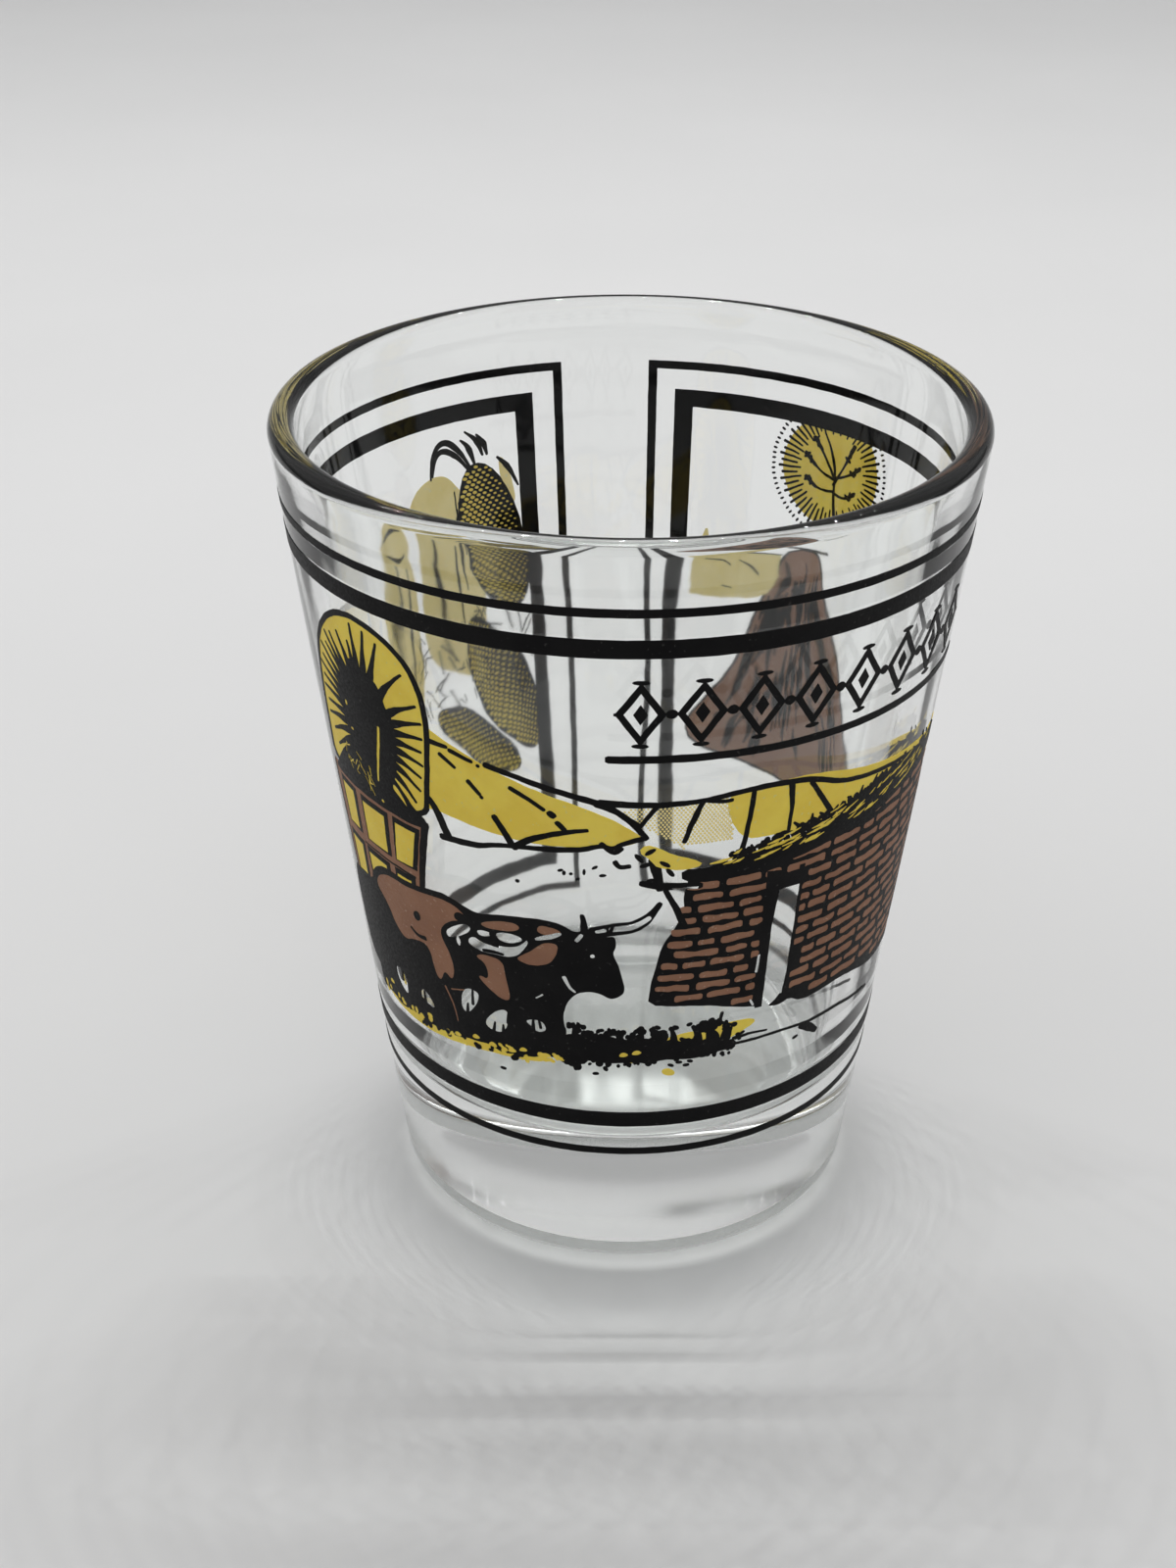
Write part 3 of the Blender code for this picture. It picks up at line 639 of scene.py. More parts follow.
def draw_hills(art, dice):
    """A plain hill on the left; on the right a yellow one whose inner end is a halftone of tan dots."""
    art.ink("left_hill", shape(
        (-38, 43.6), (-33, 42.7), (-26, 41.6), (-18, 40.4), (-10, 39.5), (-4, 38.6), (0.5, 37.5),
        (2, 36.8), (-2, 36.3), (-8, 36.1), (-16, 36), (-26, 36.3), (-34, 36.8), (-40, 36.6)))
    art.ink("right_hill", shape(
        (14.5, 40), (24, 40.3), (33, 40.1), (42, 39.2), (52, 38.5), (64, 38), (76, 37),
        (76, 35), (40, 35), (30, 36), (24, 36.1), (18.5, 36.2)))
    edge_left, edge_right = -2, 16.5
    low, high, pitch = 35.9, 40.5, 0.25
    row_pitch = pitch * 0.7
    for row in range(int((high - low) / row_pitch)):
        height = low + row * row_pitch
        angle = edge_left + (row % 2) * pitch / 2 / MM_PER_DEGREE
        while angle < edge_right + 3.0:
            crest = 39.3 + 0.045 * (angle + 1)
            foot = 38.6 - 0.26 * (angle + 1) if angle < 9 else 36.3
            lean = edge_right + 1.2 - (height - 36) * 0.55
            if foot < height < crest - 0.1 and angle < lean:
                share = (angle - edge_left) / (edge_right - edge_left)
                size = 0.076 + 0.030 * share
                art.ink("right_hill_dots", oval(angle, height, size, size, count=6))
            angle += pitch / MM_PER_DEGREE
    pens = art_pens(art, "left_hill_lines")
    pens([(-35.5, 42.2), (-31.8, 42.1)], 0.42, 0.3)
    pens([(-31.2, 41.9), (-27.2, 41.5)], 0.36, 0.28)
    pens([(-24.6, 41.5), (-18, 40.9), (-11, 40.2), (-4.5, 39.5)], 0.42, 0.34, 0.5)
    pens([(-20, 41), (-14, 40.3), (-8, 39.9)], 0.2, 0.18)
    pens([(-6, 39.6), (-3.5, 39.3), (-0.5, 38.4), (2.4, 37)], 0.55, 0.42, 0.34)
    brow = [(2.2, 37), (-1.8, 36.6), (-3.2, 36.1), (-5.4, 36.4), (-9, 35.9), (-15, 35.7),
            (-19.6, 35.6), (-24, 35.4), (-27.5, 34.9), (-35.2, 34.8)]
    pens(brow, 0.4, 0.3, 0.42, 0.3, 0.5)
    pens([(-23.8, 37.6), (-22.2, 36.6), (-20.9, 35.6)], 0.42, 0.5)
    pens([(-20.6, 35.5), (-17.4, 36.4), (-11, 37.3), (-7.6, 37.5)], 0.5, 0.4, 0.28)
    pens([(-20.6, 40.1), (-17.6, 39.5), (-14.8, 38.8)], 0.32, 0.3)
    pens([(-13.8, 38.6), (-13.2, 38.4)], 0.46)
    pens([(-12.6, 37.9), (-11.4, 37.4)], 0.36)
    pens([(-33.4, 41.4), (-30.6, 40.7)], 0.34, 0.24)
    pens([(-28.2, 39.9), (-26.2, 39.1)], 0.36, 0.3)
    for speck in ((-25.9, 38.9, 0.15, 0.15), (-26, 41.3, 0.14, 0.13), (-20.4, 32.8, 0.16, 0.14)):
        art.ink("left_hill_lines", oval(*speck))
    pens([(-40.6, 38.6), (-36.2, 37.4), (-33.8, 35)], 0.34, 0.5, 0.62)
    pens([(-5.2, 36.5), (-3.2, 35.7), (-1.9, 36.2)], 0.34)
    pens([(-2.9, 35.1), (-2.2, 34.7), (-0.4, 34.8)], 0.36, 0.3)
    crumbs = ((-12.4, 34.2), (-11.8, 34), (-10.6, 34), (-9.4, 33.6), (-8.2, 34.2), (-6.4, 34.6),
              (-5, 34))
    for crumb in crumbs:
        length, tilt = 0.12 + dice.random() * 0.12, dice.random() * 90
        art.ink("left_hill_lines", oval(*crumb, length, 0.11, tilt))
    pens = art_pens(art, "right_hill_lines")
    skyline = [(-5.4, 39.7), (-1, 39.6), (6, 39.5), (13, 39.7), (20, 40.1), (27, 40.05), (33, 39.6),
               (38, 38.7), (46, 38.2), (56, 37.8), (70, 37)]
    pens(skyline, 0.5, 0.36, 0.44, 0.36, 0.3)
    pens([(12, 39.7), (14.6, 39.4), (16.6, 39.45)], 0.34, 0.24)
    pens([(-3.8, 39.4), (-1, 38.6), (1.2, 38)], 0.4, 0.26)
    pens([(3.8, 39.3), (2.4, 38.6), (1.2, 37.9)], 0.32, 0.28)
    pens([(11.6, 39.6), (10.2, 38.4), (8.8, 36.6)], 0.34, 0.4, 0.3)
    pens([(20.4, 40), (20, 37.6), (19.2, 35.5)], 0.34, 0.3, 0.34)
    pens([(27.4, 39.9), (28, 38), (27.9, 36.2)], 0.46, 0.3, 0.26)
    pens([(31.4, 39.5), (34.4, 37.9), (38.2, 35.8)], 0.34, 0.4)


def draw_wagon(art, dice):
    """The wagon from one end: a box with six panes under a gathered cloth with a dark mouth."""
    art.ink("wagon_frame", shape((-70.8, 35.2), (-68.6, 26), (-43.6, 26), (-39, 35.2), soft=0))
    upper = [
        ((-67.2, -61.8), (-66.8, -61.9)),
        ((-58, -50.6), (-58.2, -51.2)),
        ((-47.2, -41.9), (-48.6, -43.9))]
    lower = [
        ((-67.4, -62.2), (-66.8, -62.6)),
        ((-59.2, -52.6), (-59, -53.2)),
        ((-49.2, -45), (-49.6, -46))]
    for top, bottom, columns in ((34.3, 30.9, upper), (29.9, 26.2, lower)):
        for (top_left, top_right), (low_left, low_right) in columns:
            art.ink("wagon_shading", shape(
                (top_left - 0.5, top + 0.25), (low_left - 0.2, bottom - 0.05),
                (low_right + 1.2, bottom - 0.05), (top_right + 1.4, top + 0.25), soft=0))
            art.ink("wagon_panes", shape(
                (top_left, top - 0.2), (low_left, bottom), (low_right, bottom + 0.1),
                (top_right, top - 0.2), soft=0))
    pens = art_pens(art, "wagon_shading")
    pens([(-38.9, 35.2), (-40.6, 32.6), (-42.4, 29), (-43.6, 26.4)], 0.62, 0.5, 0.4)
    pens([(-70.8, 35), (-69.6, 30), (-68.6, 26)], 0.25, 0.2)
    pens([(-60.2, 30.3), (-51, 30.35), (-43.6, 30.2)], 0.12, 0.16)

    cover = shape(
        (-38.4, 35.3), (-37.2, 38.2), (-35.9, 41.4), (-35.4, 43.8), (-36.3, 46.2), (-39.2, 47.9),
        (-44.2, 49), (-50.8, 49.4), (-56.8, 48.7), (-62.2, 47), (-66, 44.8), (-68.2, 41.4),
        (-69, 38), (-69.6, 35.3), soft=3)
    art.ink("cover_lines", grown(cover, 0.2))
    art.ink("cover_cloth", grown(cover, -0.22))
    pens = art_pens(art, "cover_lines")
    centre, mouth, cloth = (-50.6, 41), (7, 4.3), (17.5, 8.3)

    def around(turn, share_x, share_y):
        return centre[0] + share_x * math.cos(turn), centre[1] + share_y * math.sin(turn)

    gathers = [
        (100, 0.50), (92, 0.86), (79, 0.86), (68, 0.86), (46, 0.85), (28, 0.74), (18, 0.72), (9, 0.64),
        (0, 0.60), (-9, 0.62), (-18, 0.58), (-28, 0.62), (-39, 0.6), (112, 0.66), (124, 0.7),
        (131, 0.82), (138, 0.72), (145, 0.84), (152, 0.76), (160, 0.86), (167, 0.8), (174, 0.84),
        (182, 0.78), (190, 0.84), (199, 0.8), (208, 0.86), (217, 0.8)]
    for way, share in gathers:
        turn, out = math.radians(way), share + dice.uniform(-0.03, 0.03)
        start = around(turn, mouth[0] * 0.86, mouth[1] * 0.86)
        end = around(turn, *(near + (far - near) * out for near, far in zip(mouth, cloth)))
        middle_x, middle_y = (start[0] + end[0]) / 2, (start[1] + end[1]) / 2
        bend = (middle_x + dice.uniform(-0.5, 0.5), middle_y + 0.12)
        pens([start, bend, end], 0.72, 0.38, 0.2)
    puffs, edge = 34, []
    for i in range(puffs):
        puff = dice.uniform(0.95, 1.18)
        edge.append(around(2 * math.pi * i / puffs, mouth[0] * puff, mouth[1] * puff))
    art.ink("cover_lines", shape(*edge, soft=1))
    art.ink("cover_lines", shape(
        (-69.4, 35), (-66.4, 36), (-62, 37.6), (-58, 38.9), (-52, 38.6), (-46.4, 38.4),
        (-43.4, 37.2), (-41, 36.2), (-38.2, 35.4), (-38.6, 34.7), (-54, 34.9), (-69, 34.8), soft=1))
    art.ink("cover_cloth", pen([(-47.4, 41.5), (-48.6, 39.6), (-50.2, 37)], 0.24, 0.3, 0.2))
    flecks = 22
    for _ in range(flecks):
        at = (dice.uniform(-61.5, -51.5), dice.uniform(35.8, 38.6))
        tip = (at[0] + dice.uniform(-1.6, 1.6), at[1] + dice.uniform(-0.9, 0.9))
        art.ink("cover_cloth", pen([at, tip], 0.12, dice.uniform(0.24, 0.5), 0.1))
    art.ink("cover_cloth", shape((-46.2, 37), (-45.4, 37.5), (-43.4, 36.6), (-42.6, 35.9), (-44.6, 36.6)))
    for speck in ((-49.8, 35.4, 0.14, 0.12), (-57, 41.9, 0.14, 0.2), (-56.4, 40, 0.16, 0.1)):
        art.ink("cover_cloth", oval(*speck))


def draw_house(art, dice):
    """A wall of sod bricks with a doorway. It simply stops round the side."""
    right = 76.0
    wall = shape(
        (3.4, 23.2), (3.6, 24.6), (4.6, 26.2), (5.6, 28.2), (8, 29.6), (9.4, 31), (9.2, 32.4),
        (10.4, 34.4), (30, 35.2), (60, 35.8), (right, 35.8), (right, 19.8), (66, 19.8), (59.6, 20),
        (54, 20.6), (48, 21), (43, 20.9), (37, 20.8), (33.4, 21.5), (29, 21.5), (26, 21.7),
        (20, 22.2), (14, 22.8), (9, 22.95), soft=1)
    art.ink("house_mortar", wall)
    pitch, joint = 0.925, 0.36
    left_side, door, door_top, top = 4.6, (24.6, 32.6), 31.6, 35.4
    course, low = 0, 20.5
    while low < top:
        high = low + pitch - joint
        start = left_side - dice.uniform(0, 4)
        while start < right - 1.5:
            end = start + dice.choice((3, 4.2, 5.4, 6.6, 8.4))
            lean = left_side + 0.58 * max(0, low - 24.4)
            near_wall_end = 33.0 if low > door_top else door[0]
            for wall_start, wall_end in ((lean, near_wall_end), (door[1], right - 1)):
                left, edge = max(start, wall_start), min(end, wall_end)
                foot = 23.5 - 0.07 * (left - 3) if left < door[0] else 21.6 - 0.055 * (left - 33)
                eaves = 33.0 if left < 24 else 33.6 + 0.055 * (left - 24)
                if edge - left > 1.2 and foot < low < eaves:
                    art.ink("house_bricks", brick(left, edge, low, high, dice))
            start = end + dice.uniform(0.8, 1.5)
        course += 1
        low += pitch + (0.06 if course % 3 == 0 else -0.01)
    jambs_and_lintel = (
        shape((24.6, 33.2), (25.4, 21.6), (28.2, 21.5), (27.6, 33), soft=0),
        shape((31.4, 33), (32, 21.3), (32.8, 21.4), (32.6, 33), soft=0),
        shape((25, 32.6), (25, 31.2), (33.2, 31.2), (33.4, 32.5), soft=1))
    opening = shape((27.6, 31.4), (26.9, 28), (27, 21), (31.2, 21), (31.9, 24), (32, 31.4), soft=0)
    step = shape((28.4, 21.4), (29.6, 21.6), (31.4, 22.4), (32.4, 21.4), (30.6, 21.2), soft=1)
    art.ink("house_mortar", *jambs_and_lintel)
    art.bare(opening)
    art.ink("house_mortar", step)
    art.bare(pen([(24.9, 26.2), (24.8, 24.8)], 0.22, 0.26), pen([(24.2, 22.4), (24.9, 21.9)], 0.18))
    pens = art_pens(art, "house_mortar")
    pens([(1.6, 33.4), (5, 33.1), (12, 33)], 0.42, 0.62, 0.5)
    pens([(3.6, 35.3), (4.6, 33.8), (4.8, 32.9)], 0.7, 0.5)
    pens([(5.6, 33), (7.8, 31.4), (9.6, 29.8)], 0.36, 0.5)
    art.bare(
        shape((7.4, 33.5), (8.4, 33.95), (9.6, 33.5), (9.2, 33.35), soft=1),
        shape((7, 32.95), (11.8, 32.95), (11.6, 32.75), (7.4, 32.75), soft=0))


def brick(left, right, low, high, dice):
    """A sod brick: a ragged bar with blunt, uneven ends."""
    count = max(2, int((right - left) / 1.3))
    steps = [left + (right - left) * i / count for i in range(count + 1)]
    below = [(x, low + dice.uniform(-0.08, 0.10)) for x in steps]
    above = [(x, high + dice.uniform(-0.10, 0.08)) for x in steps]
    tip = (right + dice.uniform(0, 0.35), (low + high) / 2)
    return shape(*below, tip, *above[::-1], soft=1)


def draw_thatch(art, dice):
    """A ragged black roof edge with yellow straws over it, and a yellow eave at its near end."""
    art.ink("eave", shape(
        (1, 35.9), (3, 35.3), (4.4, 34.6), (8.6, 34.3), (12.6, 34.6), (10.4, 35.2), (7, 35.6),
        (4.6, 36.2), (2.2, 36.5), soft=1))
    art.ink("thatch", shape(
        (8.6, 34.4), (13, 34.3), (16, 34.4), (20, 35), (25, 35.2), (30, 35.5), (36, 35.9), (41, 36.5),
        (46, 37.3), (52, 37.4), (60, 37.4), (76, 37.2), (76, 35.6), (60, 35.2), (50, 34.6), (40, 34.2),
        (30, 33.7), (22, 33.4), (14, 33.2), (8.8, 33.4), soft=1))
    tufts, straws = 36, 64
    for i in range(tufts):
        part = i / tufts
        at, base = 18 + 58 * part, 34.9 + 2.1 * min(1, part * 1.8)
        lean, tall = dice.uniform(-2.2, 1.2), dice.uniform(0.3, 1.1)
        blade = [(at, base), (at + lean * 0.3, base + tall * 0.5), (at + lean, base + tall)]
        art.ink("thatch", pen(blade, 0.5, 0.36, 0.16))
        art.ink("thatch", *clump(at, base + 0.2, dice.uniform(0.25, 0.5), dice))
    for _ in range(straws):
        at, height = dice.uniform(13, 74), dice.uniform(0, 1)
        base = 34.0 + 0.035 * (at - 13) + height * (0.9 + 0.9 * min(1, (at - 13) / 30))
        length = dice.uniform(1, 4.2)
        straw = [(at, base), (at + length / 2, base + 0.1), (at + length, base + 0.3)]
        art.ink("eave", pen(straw, 0.1, dice.uniform(0.18, 0.34), 0.1))
    crumbs = ((1.2, 35.4), (2.4, 34.9), (3, 35.9), (4, 34.2), (5.6, 34.9), (3.6, 33.6), (6.6, 34.2))
    for crumb in crumbs:
        art.ink("house_mortar", oval(*crumb, 0.42, 0.17, dice.uniform(-60, 60), 9))


def draw_ground(art, dice):
    """A strip of grass, black over yellow: its body, the blades along its top, and blots and dashes."""
    art.ink("left_verge", shape(
        (-66, 17.8), (-60, 16.8), (-50, 16.5), (-40, 16.7), (-30, 17.2), (-18, 17.3), (-16, 18.2),
        (-30, 18.6), (-50, 18.6), (-62, 18.6)))
    art.ink("right_verge", shape(
        (-4, 18.2), (1, 18), (6, 18.4), (12, 18.8), (18, 19), (22, 19.6), (26.8, 20.4), (23, 20.9),
        (16, 20.7), (9, 20.4), (2, 19.6)))
    art.ink("right_verge", shape((-2.2, 18.3), (-1.6, 18.8), (1.4, 18.8), (0.8, 18.1)))
    art.ink("right_verge", oval(8, 17.1, 0.5, 0.3, -20))
    left, span, points = -66, 88, 30
    body, crest = [], []
    for i in range(points):
        at = left + span * i / (points - 1)
        body.append((at, 17.0 + 1.5 * ((at - left) / span) + dice.uniform(-0.3, 0.25)))
    for i in range(points):
        at = left + span - span * i / (points - 1)
        crest.append((at, 20.0 + dice.uniform(-0.3, 0.5) - (0.6 if at > 12 else 0)))
    art.ink("oxen_and_grass", shape(*body, *crest, soft=1))
    blades, blots, base = 60, 64, 19.4
    for i in range(blades):
        at = left + (span - 2) * i / (blades - 1) + dice.uniform(-0.6, 0.6)
        tall, lean = dice.uniform(0.5, 1.7), dice.uniform(-1.6, 1.6)
        blade = [(at, base), (at + lean * 0.3, base + tall * 0.6), (at + lean, base + tall)]
        art.ink("oxen_and_grass", pen(blade, 0.6, 0.5, 0.3))
        if tall > 1.0:
            art.ink("oxen_and_grass", *clump(at + lean, base + tall, 0.3, dice))
    for _ in range(blots):
        at = dice.uniform(-65, 21)
        base = 17.2 + 1.4 * ((at - left) / span) + dice.uniform(-0.5, 0.4)
        piece = "oxen_and_grass" if dice.random() < 0.62 or at > -12 else "left_verge"
        art.ink(piece, *clump(at, base, dice.uniform(0.2, 0.42), dice)[:3])
    tussocks = ((6, 20.4, 0.55), (14.6, 20.9, 0.5), (16.9, 21.1, 0.45), (7.4, 19.4, 0.6),
                (12, 19.4, 0.5), (9.6, 19.3, 0.34), (22.6, 19.4, 0.3))
    for tussock in tussocks:
        art.ink("oxen_and_grass", *clump(*tussock, dice))
    pens = art_pens(art, "oxen_and_grass")
    pens([(14, 21), (17, 21.2), (18.6, 20.9), (20.4, 20.6)], 0.34, 0.24)
    pens([(18, 21.2), (18.4, 21.8)], 0.3, 0.24)
    path = [(13, 18.8), (22, 18.75), (32, 18.75), (40, 18.4), (48, 18.4), (56, 17.9), (63, 17.4)]
    pens(path, 0.26, 0.2, 0.3, 0.22)
    pens([(21.4, 19.3), (25, 19.4), (29, 19.25)], 0.28, 0.14)
    pens([(38, 18.3), (40.6, 17.9), (43, 17.2)], 0.5, 0.8, 0.5)
    pebbles = ((37, 17.5), (8.4, 17.7), (10, 17.9), (11.6, 17.6), (12.4, 17.9), (15, 18.2), (-6.8, 17),
               (-27, 16))
    for pebble in pebbles:
        art.ink("oxen_and_grass", oval(*pebble, 0.26, 0.13, dice.uniform(-30, 10)))
    gaps = ((-53, 19.6), (-45.5, 19.5), (-30, 19.3), (-60, 18.4), (-38, 17.6), (-33, 18.1), (-29, 17.9),
            (-22, 18.2), (-17, 18.1), (-1.2, 18.8), (1.4, 19), (-24.5, 17.9), (-49, 17.4),
            (-55.6, 17.3))
    for x, y in gaps:
        art.ink("left_verge", shape((x - 1.2, y - 0.2), (x - 0.2, y + 0.3), (x + 1.2, y + 0.05),
                                    (x + 0.4, y - 0.22)))


def clump(at, height, size, dice):
    """A lumpy tuft: a few overlapping blots."""
    blots = []
    for _ in range(5):
        place = (at + dice.uniform(-1.2, 1.2), height + dice.uniform(-0.3, 0.3))
        sizes = (size * dice.uniform(0.5, 0.9), size * dice.uniform(0.45, 0.8))
        blots.append(oval(*place, *sizes, dice.uniform(0, 90), 9))
    return blots


def draw_oxen(art, dice):
    """A team of oxen under a yoke: the rear pair brown over dark legs, the near leader black."""
    black, brown = "oxen_and_grass", "ox_hide"
    art.ink(black, shape(
        (-72, 26.4), (-66, 27), (-60, 27.2), (-59.6, 28), (-56.4, 29.1), (-52, 29.5), (-46, 29.4),
        (-40, 29.8), (-35.4, 29.9), (-31.6, 29.4), (-29.4, 29.2), (-25, 29.6), (-17, 29.95),
        (-12.8, 29.8), (-10.4, 29.2), (-8.6, 29.4), (-7, 29.5), (-4.6, 28.9), (-3, 29.1),
        (-2.6, 28.2), (-3.4, 27.6), (-2.2, 26.6), (-1.6, 25.4), (-0.8, 24.4), (-2.2, 23.9),
        (-4, 23.7), (-5.4, 24.1), (-7.6, 24.3), (-10.6, 24), (-12.6, 22.8), (-13.2, 21.4),
        (-12.4, 20.4), (-13.4, 19.4), (-18, 19.2), (-22, 19.2), (-30, 19), (-44, 18.8), (-60, 18.6),
        (-70, 19), (-72.6, 22), soft=2))
    hide = shape(
        (-58.8, 27.2), (-56.2, 28.4), (-52, 29), (-46.6, 28.9), (-40.4, 29.3), (-35.6, 29.4),
        (-32.4, 28.9), (-32.2, 28.2), (-35.2, 27.9), (-38.4, 27), (-38.8, 26), (-37.2, 24.9),
        (-36.4, 23.6), (-37.4, 22.4), (-39.2, 23.1), (-40.6, 21.9), (-42, 22.4), (-42.6, 24.6),
        (-46.4, 24.6), (-50.4, 23.9), (-53.2, 24.8), (-55, 26.2))
    art.ink(brown, hide)
    art.ink(
        black,
        oval(-45, 26.8, 0.32, 0.42, -20),
        oval(-33.4, 28.4, 0.5, 0.36, 20),
        pen([(-47.4, 25.4), (-45.6, 25), (-43.4, 25.1)], 0.2, 0.34))
    art.ink(
        brown,
        shape((-29.2, 28.4), (-27, 28.9), (-22, 29.3), (-20.4, 28.9), (-22.4, 28.4), (-27, 28.2)),
        shape((-17.6, 28.8), (-16.8, 29.5), (-13.2, 29.3), (-12.6, 28.9), (-15, 28.6)),
        shape(
            (-22.4, 26.2), (-19, 27), (-16.4, 28), (-13.4, 28.1), (-13.6, 27.2), (-15.4, 26.2),
            (-19, 25.8)),
        shape(
            (-31, 25.5), (-28.6, 25.9), (-24.8, 25.7), (-24.6, 24.6), (-23.6, 22.6), (-25.2, 22.2),
            (-28, 22.8), (-30.6, 23.6), (-30.2, 23.9), (-28.2, 23.7), (-28.4, 25)))
    art.bare(
        shape(
            (-37.4, 26.6), (-36.6, 27.1), (-32.6, 28), (-31.2, 27.9), (-31.4, 27.4), (-34.6, 26.6),
            (-36.8, 26.2)),
        shape((-30, 27.8), (-27, 28), (-26.6, 27.6), (-29.4, 27.3)),
        shape((-25.8, 28), (-23, 28.3), (-20.4, 28.1), (-20.4, 27.7), (-23.4, 27.3), (-25.6, 27.5)),
        shape(
            (-32.6, 26.5), (-30.8, 27.2), (-27.4, 26.9), (-24, 27), (-20.8, 27.3), (-19.2, 28.1),
            (-19.4, 27.4), (-22.2, 26.2), (-26, 26.1), (-30, 26)),
        shape((-18, 28.3), (-15, 28.8), (-12.6, 29.1), (-12.8, 28.7), (-15.2, 28.3), (-17.6, 28)),
        shape((-35.2, 26.2), (-34.6, 26.8), (-33.8, 26.3), (-34.4, 25.7)))
    art.ink(
        black,
        pen([(-31.4, 27.4), (-28.8, 27), (-25.6, 26.9)], 0.22, 0.3, 0.2),
        pen([(-26.8, 27.8), (-26.2, 27)], 0.3, 0.2),
        pen([(-28.8, 26.2), (-26.4, 26.3), (-24.6, 26.3)], 0.26, 0.3, 0.2))
    art.bare(
        shape((-36, 20.4), (-35.4, 21.8), (-33.4, 22.4), (-30.6, 22.2), (-32, 21), (-34.6, 19.9)),
        shape((-30.4, 19.4), (-29.6, 20.3), (-26.4, 21.4), (-24.4, 21.4), (-25.2, 19.8), (-27, 19.1)),
        shape((-21, 20.8), (-20.2, 21.1), (-17.4, 21.2), (-16.4, 20.4), (-18.4, 20), (-19.8, 20.5)),
        shape((-56.6, 19.6), (-56.4, 20.6), (-53.4, 20.6), (-51.8, 19.4), (-53.4, 18.4), (-55.4, 18.9)),
        shape((-48.4, 19.4), (-46.8, 20.3), (-44.6, 19.7), (-43.6, 18.9), (-46, 18.9)),
        oval(-7.1, 27.3, 0.15, 0.17),
        pen([(-18.4, 23.1), (-17, 23.5)], 0.12, 0.16),
        pen([(-12.6, 25.3), (-11.6, 24.4), (-10.6, 24.1)], 0.3, 0.2))
    art.ink(
        brown,
        pen([(-39.6, 21.6), (-37.8, 20.2), (-37.4, 18.9)], 0.2, 0.14),
        pen([(-38, 21.6), (-34.8, 22)], 0.14, 0.12))
    art.ink(black, pen([(-8.4, 29.2), (-8.6, 30.2), (-8.8, 30.6)], 0.55, 0.4, 0.3))
    blades = ((-34.6, 20.3), (-32.9, 21.6), (-31.4, 21.2), (-28.6, 19.5), (-26.2, 19.4), (-19.6, 20.3),
              (-17.8, 21.1), (-54.4, 20.2), (-52.8, 19), (-46.8, 19.1), (-24.9, 20.9))
    for at, height in blades:
        tip = (at + dice.uniform(-0.8, 0.8), height + dice.uniform(0.5, 1.1))
        art.ink(black, pen([(at, height - 0.6), tip], dice.uniform(0.2, 0.45), 0.14))
    horn = [(-7, 29.2), (-3.6, 29.6), (0.4, 29.8), (3.2, 30.6), (5, 31.7)]
    art.ink(black, pen(horn, 0.95, 0.95, 0.85, 0.4))
    art.bare(
        pen(horn[1:-1], 0.42, 0.5, 0.34),
        pen([(-6.2, 29.35), (-4.8, 29.5)], 0.3, 0.34),
        pen([(-9.9, 28.5), (-9, 29)], 0.3, 0.3))
    art.ink(black, pen([(-3.9, 29.2), (-3.2, 30)], 0.24))


def print_front(dice):
    art = Print()
    draw_hills(art, dice)
    draw_wagon(art, dice)
    draw_house(art, dice)
    draw_thatch(art, dice)
    draw_ground(art, dice)
    draw_oxen(art, dice)
    return art


# ---------------- motifs round the back


def draw_medallion(art):
    """A plain sprig in a disc, with a fringe of rays and a ring of dots. The band cuts off its top."""
    middle = (134.9, 47.3)
    centre = sheet(*middle)

    def spot(way, radius):
        at = centre + Vector((math.cos(way), math.sin(way))) * radius
        return at.x / MM_PER_DEGREE, at.y

    art.ink("medallion", oval(*middle, 4.3, 4.3, count=44))
    rays, dots = 58, 80
    for i in range(rays):
        way = 2 * math.pi * i / rays
        start, end = (2.9, 4.6) if i % 2 else (3.2, 4.4)
        art.ink("medallion_lines", pen([spot(way, start), spot(way, end)], 0.14, 0.2, soft=0))
    for i in range(dots):
        way = 2 * math.pi * i / dots
        art.ink("medallion_lines", oval(*spot(way, 5.1), 0.17, 0.085, math.degrees(way), 8))
    stem = [spot(-1.75, 3.4), spot(-1.7, 1.7), spot(2.6, 0.2), spot(1.35, 1.6), spot(1.2, 2.9)]
    art.ink("medallion_lines", pen(stem, 0.3, 0.2, 0.26, 0.14))
    twigs = ((1.4, (-0.35, 2.5), 0.5), (0.5, (0.35, 2.7), 0.4), (0.3, (0.85, 3), -0.2),
             (1.5, (3.6, 2.4), 0.5), (0.4, (2.75, 2.6), 0.3), (0.9, (2.15, 2.9), 0.2))
    for start, end, bend in twigs:
        low, tip = spot(-1.7, start), spot(*end)
        elbow = ((low[0] + tip[0]) / 2, (low[1] + tip[1]) / 2 - bend)
        art.ink("medallion_lines", pen([low, elbow, tip], 0.24, 0.16, 0.34))
        for i in range(3):
            part = 0.4 + 0.25 * i
            leaf = (elbow[0] + (tip[0] - elbow[0]) * part, elbow[1] + (tip[1] - elbow[1]) * part)
            art.ink("medallion_lines", oval(*leaf, 0.36, 0.15, 35 + 50 * i, 8))
    art.bare(rectangle(115, 158, BAND_EDGE, 54))


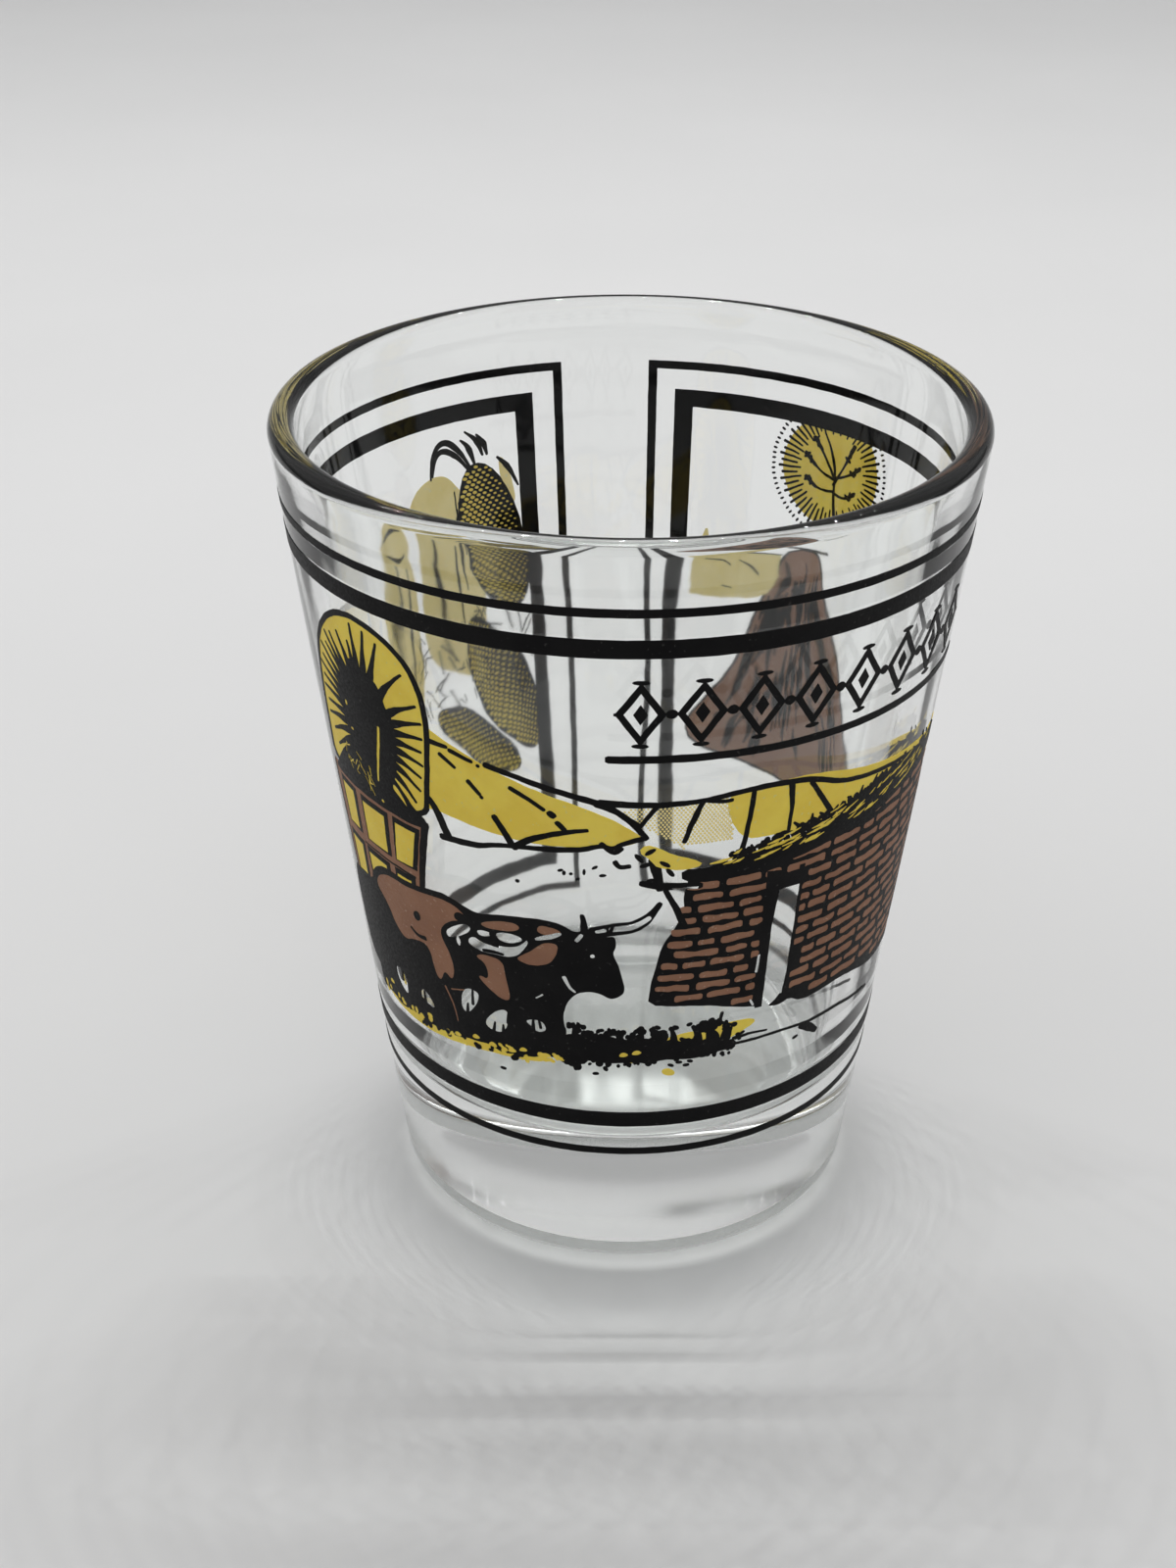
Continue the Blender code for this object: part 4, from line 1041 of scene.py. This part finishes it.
def draw_rock(art, dice):
    """A tall spire on a spreading foot, cut by hatching that follows its flanks."""
    outline = shape(
        (98, 22.4), (102, 24.6), (108, 26.6), (115, 29.4), (122, 33), (127, 36.6), (131, 39.4),
        (133, 40.4), (141.4, 40.4), (143, 38.2), (145.6, 35), (149.6, 31), (154, 28.6),
        (159, 26.8), (164, 24.4), (162.4, 22.8), (150, 22.2), (136, 22), (115, 21.8), soft=1)[::-1]
    art.ink("rock_hatching", grown(outline, 0.1))
    art.ink("rock", grown(outline, -0.12))
    art.ink("rock_hatching", pen([(129.6, 40.7), (134, 40.5), (142.4, 40.6)], 0.2, 0.3, 0.2))
    strokes = 90
    for i in range(strokes):
        across = i / (strokes - 1)
        top = (131.5 + 10.5 * across, 39.6)
        foot = (100 + 61 * across, 22.6)
        start, length = dice.uniform(0, 0.8), dice.uniform(0.08, 0.3)
        places = []
        for step in range(4):
            share = min(0.98, start + length * step / 3)
            aside = (foot[0] - top[0]) * share ** 1.7 + dice.uniform(-0.6, 0.6)
            places.append((top[0] + aside, top[1] + (foot[1] - top[1]) * share))
        art.ink("rock_hatching", pen(places, 0.14, dice.uniform(0.3, 0.7), 0.12))


def draw_bale(art):
    """A flat-topped block beside the spire."""
    outline = shape(
        (143.2, 36), (142.8, 39), (143.2, 39.5), (152, 39.7), (161.6, 39.9), (162.4, 41.2),
        (163.6, 39.8), (164.6, 39), (165, 35.2), (164.6, 34.6), (156, 34.6), (148, 35),
        soft=1)[::-1]
    art.ink("bale", outline)
    creases = (
        [(142.8, 39.4), (152, 39.7), (161.8, 39.8)],
        [(162, 38.2), (158, 38.3), (155.6, 37.7)],
        [(153.4, 38.4), (150, 37.8), (147.6, 37.4)],
        [(158, 36), (155, 35.8)])
    for crease in creases:
        art.ink("bale_lines", pen(crease, 0.12, 0.22, 0.12))


def draw_ear(art, angle, height, half_width, half_length, tilt):
    """An ear of corn: kernels in spiral rows, in a black net, with one side in shade."""
    art.ink("ear_net", oval(angle, height, half_width, half_length, tilt, 30))
    turn, pitch = math.radians(tilt), 0.62
    rows = int(half_length / (pitch * 0.5))
    for row in range(-rows, rows + 1):
        y = row * pitch * 0.5
        room = half_width * math.sqrt(max(0, 1 - (y / half_length) ** 2)) - 0.1
        for column in range(-6, 7):
            x = (column + 0.5 * (row % 2)) * pitch * 0.86
            if abs(x) < room - 0.16:
                size = 0.215 * min(1, max(0.45, 0.85 + 0.4 * x / half_width))
                aside = x * math.cos(turn) - y * math.sin(turn)
                up = x * math.sin(turn) + y * math.cos(turn)
                kernel = oval(angle + aside / MM_PER_DEGREE, height + up, size, size * 0.66, tilt + 12, 8)
                art.ink("kernels", kernel)


def draw_corn(art, dice):
    """Ears of corn among their husks, with silk at the top."""
    husks = (
        shape((-147, 30), (-148.4, 38), (-146.6, 44), (-143.6, 45.6), (-141, 46.6), (-137, 46.5),
              (-132.6, 45.6), (-130.4, 43.6), (-129, 40), (-127.6, 36), (-130, 32), (-139, 29.6)),
        shape((-126.4, 44.6), (-123.4, 45.2), (-119.6, 44.8), (-116, 43.4), (-114.4, 39),
              (-115.6, 33), (-119.4, 29), (-124, 28.8), (-126.2, 33), (-125.6, 38)))
    for husk in husks:
        art.ink("husks", husk[::-1])
    folds = [
        [(-146, 44.2), (-144.2, 42), (-144.6, 38.6)],
        [(-143.4, 43), (-141.6, 40.2), (-142, 36.4)],
        [(-140.2, 41), (-138, 37.6), (-138.8, 33.4)],
        [(-134, 42), (-132, 38), (-133, 34)],
        [(-124.6, 43.6), (-121.4, 43.9), (-117, 43.2)],
        [(-124.4, 41.6), (-120.6, 41.2), (-117.6, 42.2)],
        [(-123.4, 40.2), (-120.8, 36), (-121.6, 31)],
        [(-118.8, 41), (-117.4, 37), (-119, 32)]]
    for fold in folds:
        art.ink("husk_veins", pen(fold, 0.16, dice.uniform(0.4, 0.7), 0.14))
    wisps, scratches = 16, 70
    for _ in range(wisps):
        at = (-146.8 + 3.6 * dice.random(), 41.5 + 4.0 * dice.random())
        tip = (at[0] + dice.uniform(-1.6, 0.4), at[1] + dice.uniform(-2.4, -0.9))
        art.ink("husk_veins", pen([at, tip], 0.1, dice.uniform(0.3, 0.6), 0.12))
    art.ink("husks", shape((-157.6, 43), (-155.8, 46.6), (-153.8, 47.2), (-154.4, 44)))
    for ear in ((-151.2, 40.4, 2.6, 6.5, -8), (-149.4, 28.4, 2.6, 6.4, -28), (-140.4, 24.7, 1.7, 5, -49)):
        draw_ear(art, *ear)
    silk = [
        [(-147.8, 46.4), (-146.2, 47.6), (-143.4, 48.9), (-140.6, 48.9), (-138.8, 47.8), (-138, 46.4)],
        [(-147.6, 46.2), (-145, 47.6), (-142, 48.4), (-139.8, 48.1), (-138.6, 46.6)],
        [(-148.6, 46.8), (-147.6, 48.2), (-146, 48.8)],
        [(-150.6, 47.4), (-149.6, 48.6), (-147.2, 49.4)],
        [(-151.6, 47.4), (-151, 48.4), (-149.6, 49)],
        [(-153.8, 47), (-156, 46.2), (-157.8, 44.6)]]
    for hair in silk:
        art.ink("husk_veins", pen(hair, 0.2, 0.5, 0.4, 0.16))
    for _ in range(scratches):
        at = (dice.uniform(-156, -122), dice.uniform(28.5, 35))
        tip = (at[0] + dice.uniform(-3, -0.4), at[1] + dice.uniform(-2.2, 1.4))
        art.ink("husk_veins", pen([at, tip], 0.1, dice.uniform(0.18, 0.42), 0.1))
    art.bare(rectangle(-170, BAND_BOX[0] + 0.5 * BAND_WIDTH / MM_PER_DEGREE, 10, 54))


def print_back(dice):
    """One print for each side of the seam, where the picture's two ends meet."""
    right, left = Print(), Print()
    draw_medallion(right)
    draw_rock(right, dice)
    draw_bale(right)
    draw_corn(left, dice)
    return [right, left]


# ---------------- the whole scene


make_camera()
make_floor()
make_light()
make_glass()
seeded = random.Random(58)
for part_of_picture in [*print_borders(), print_title(), print_front(seeded), *print_back(seeded)]:
    press(part_of_picture)
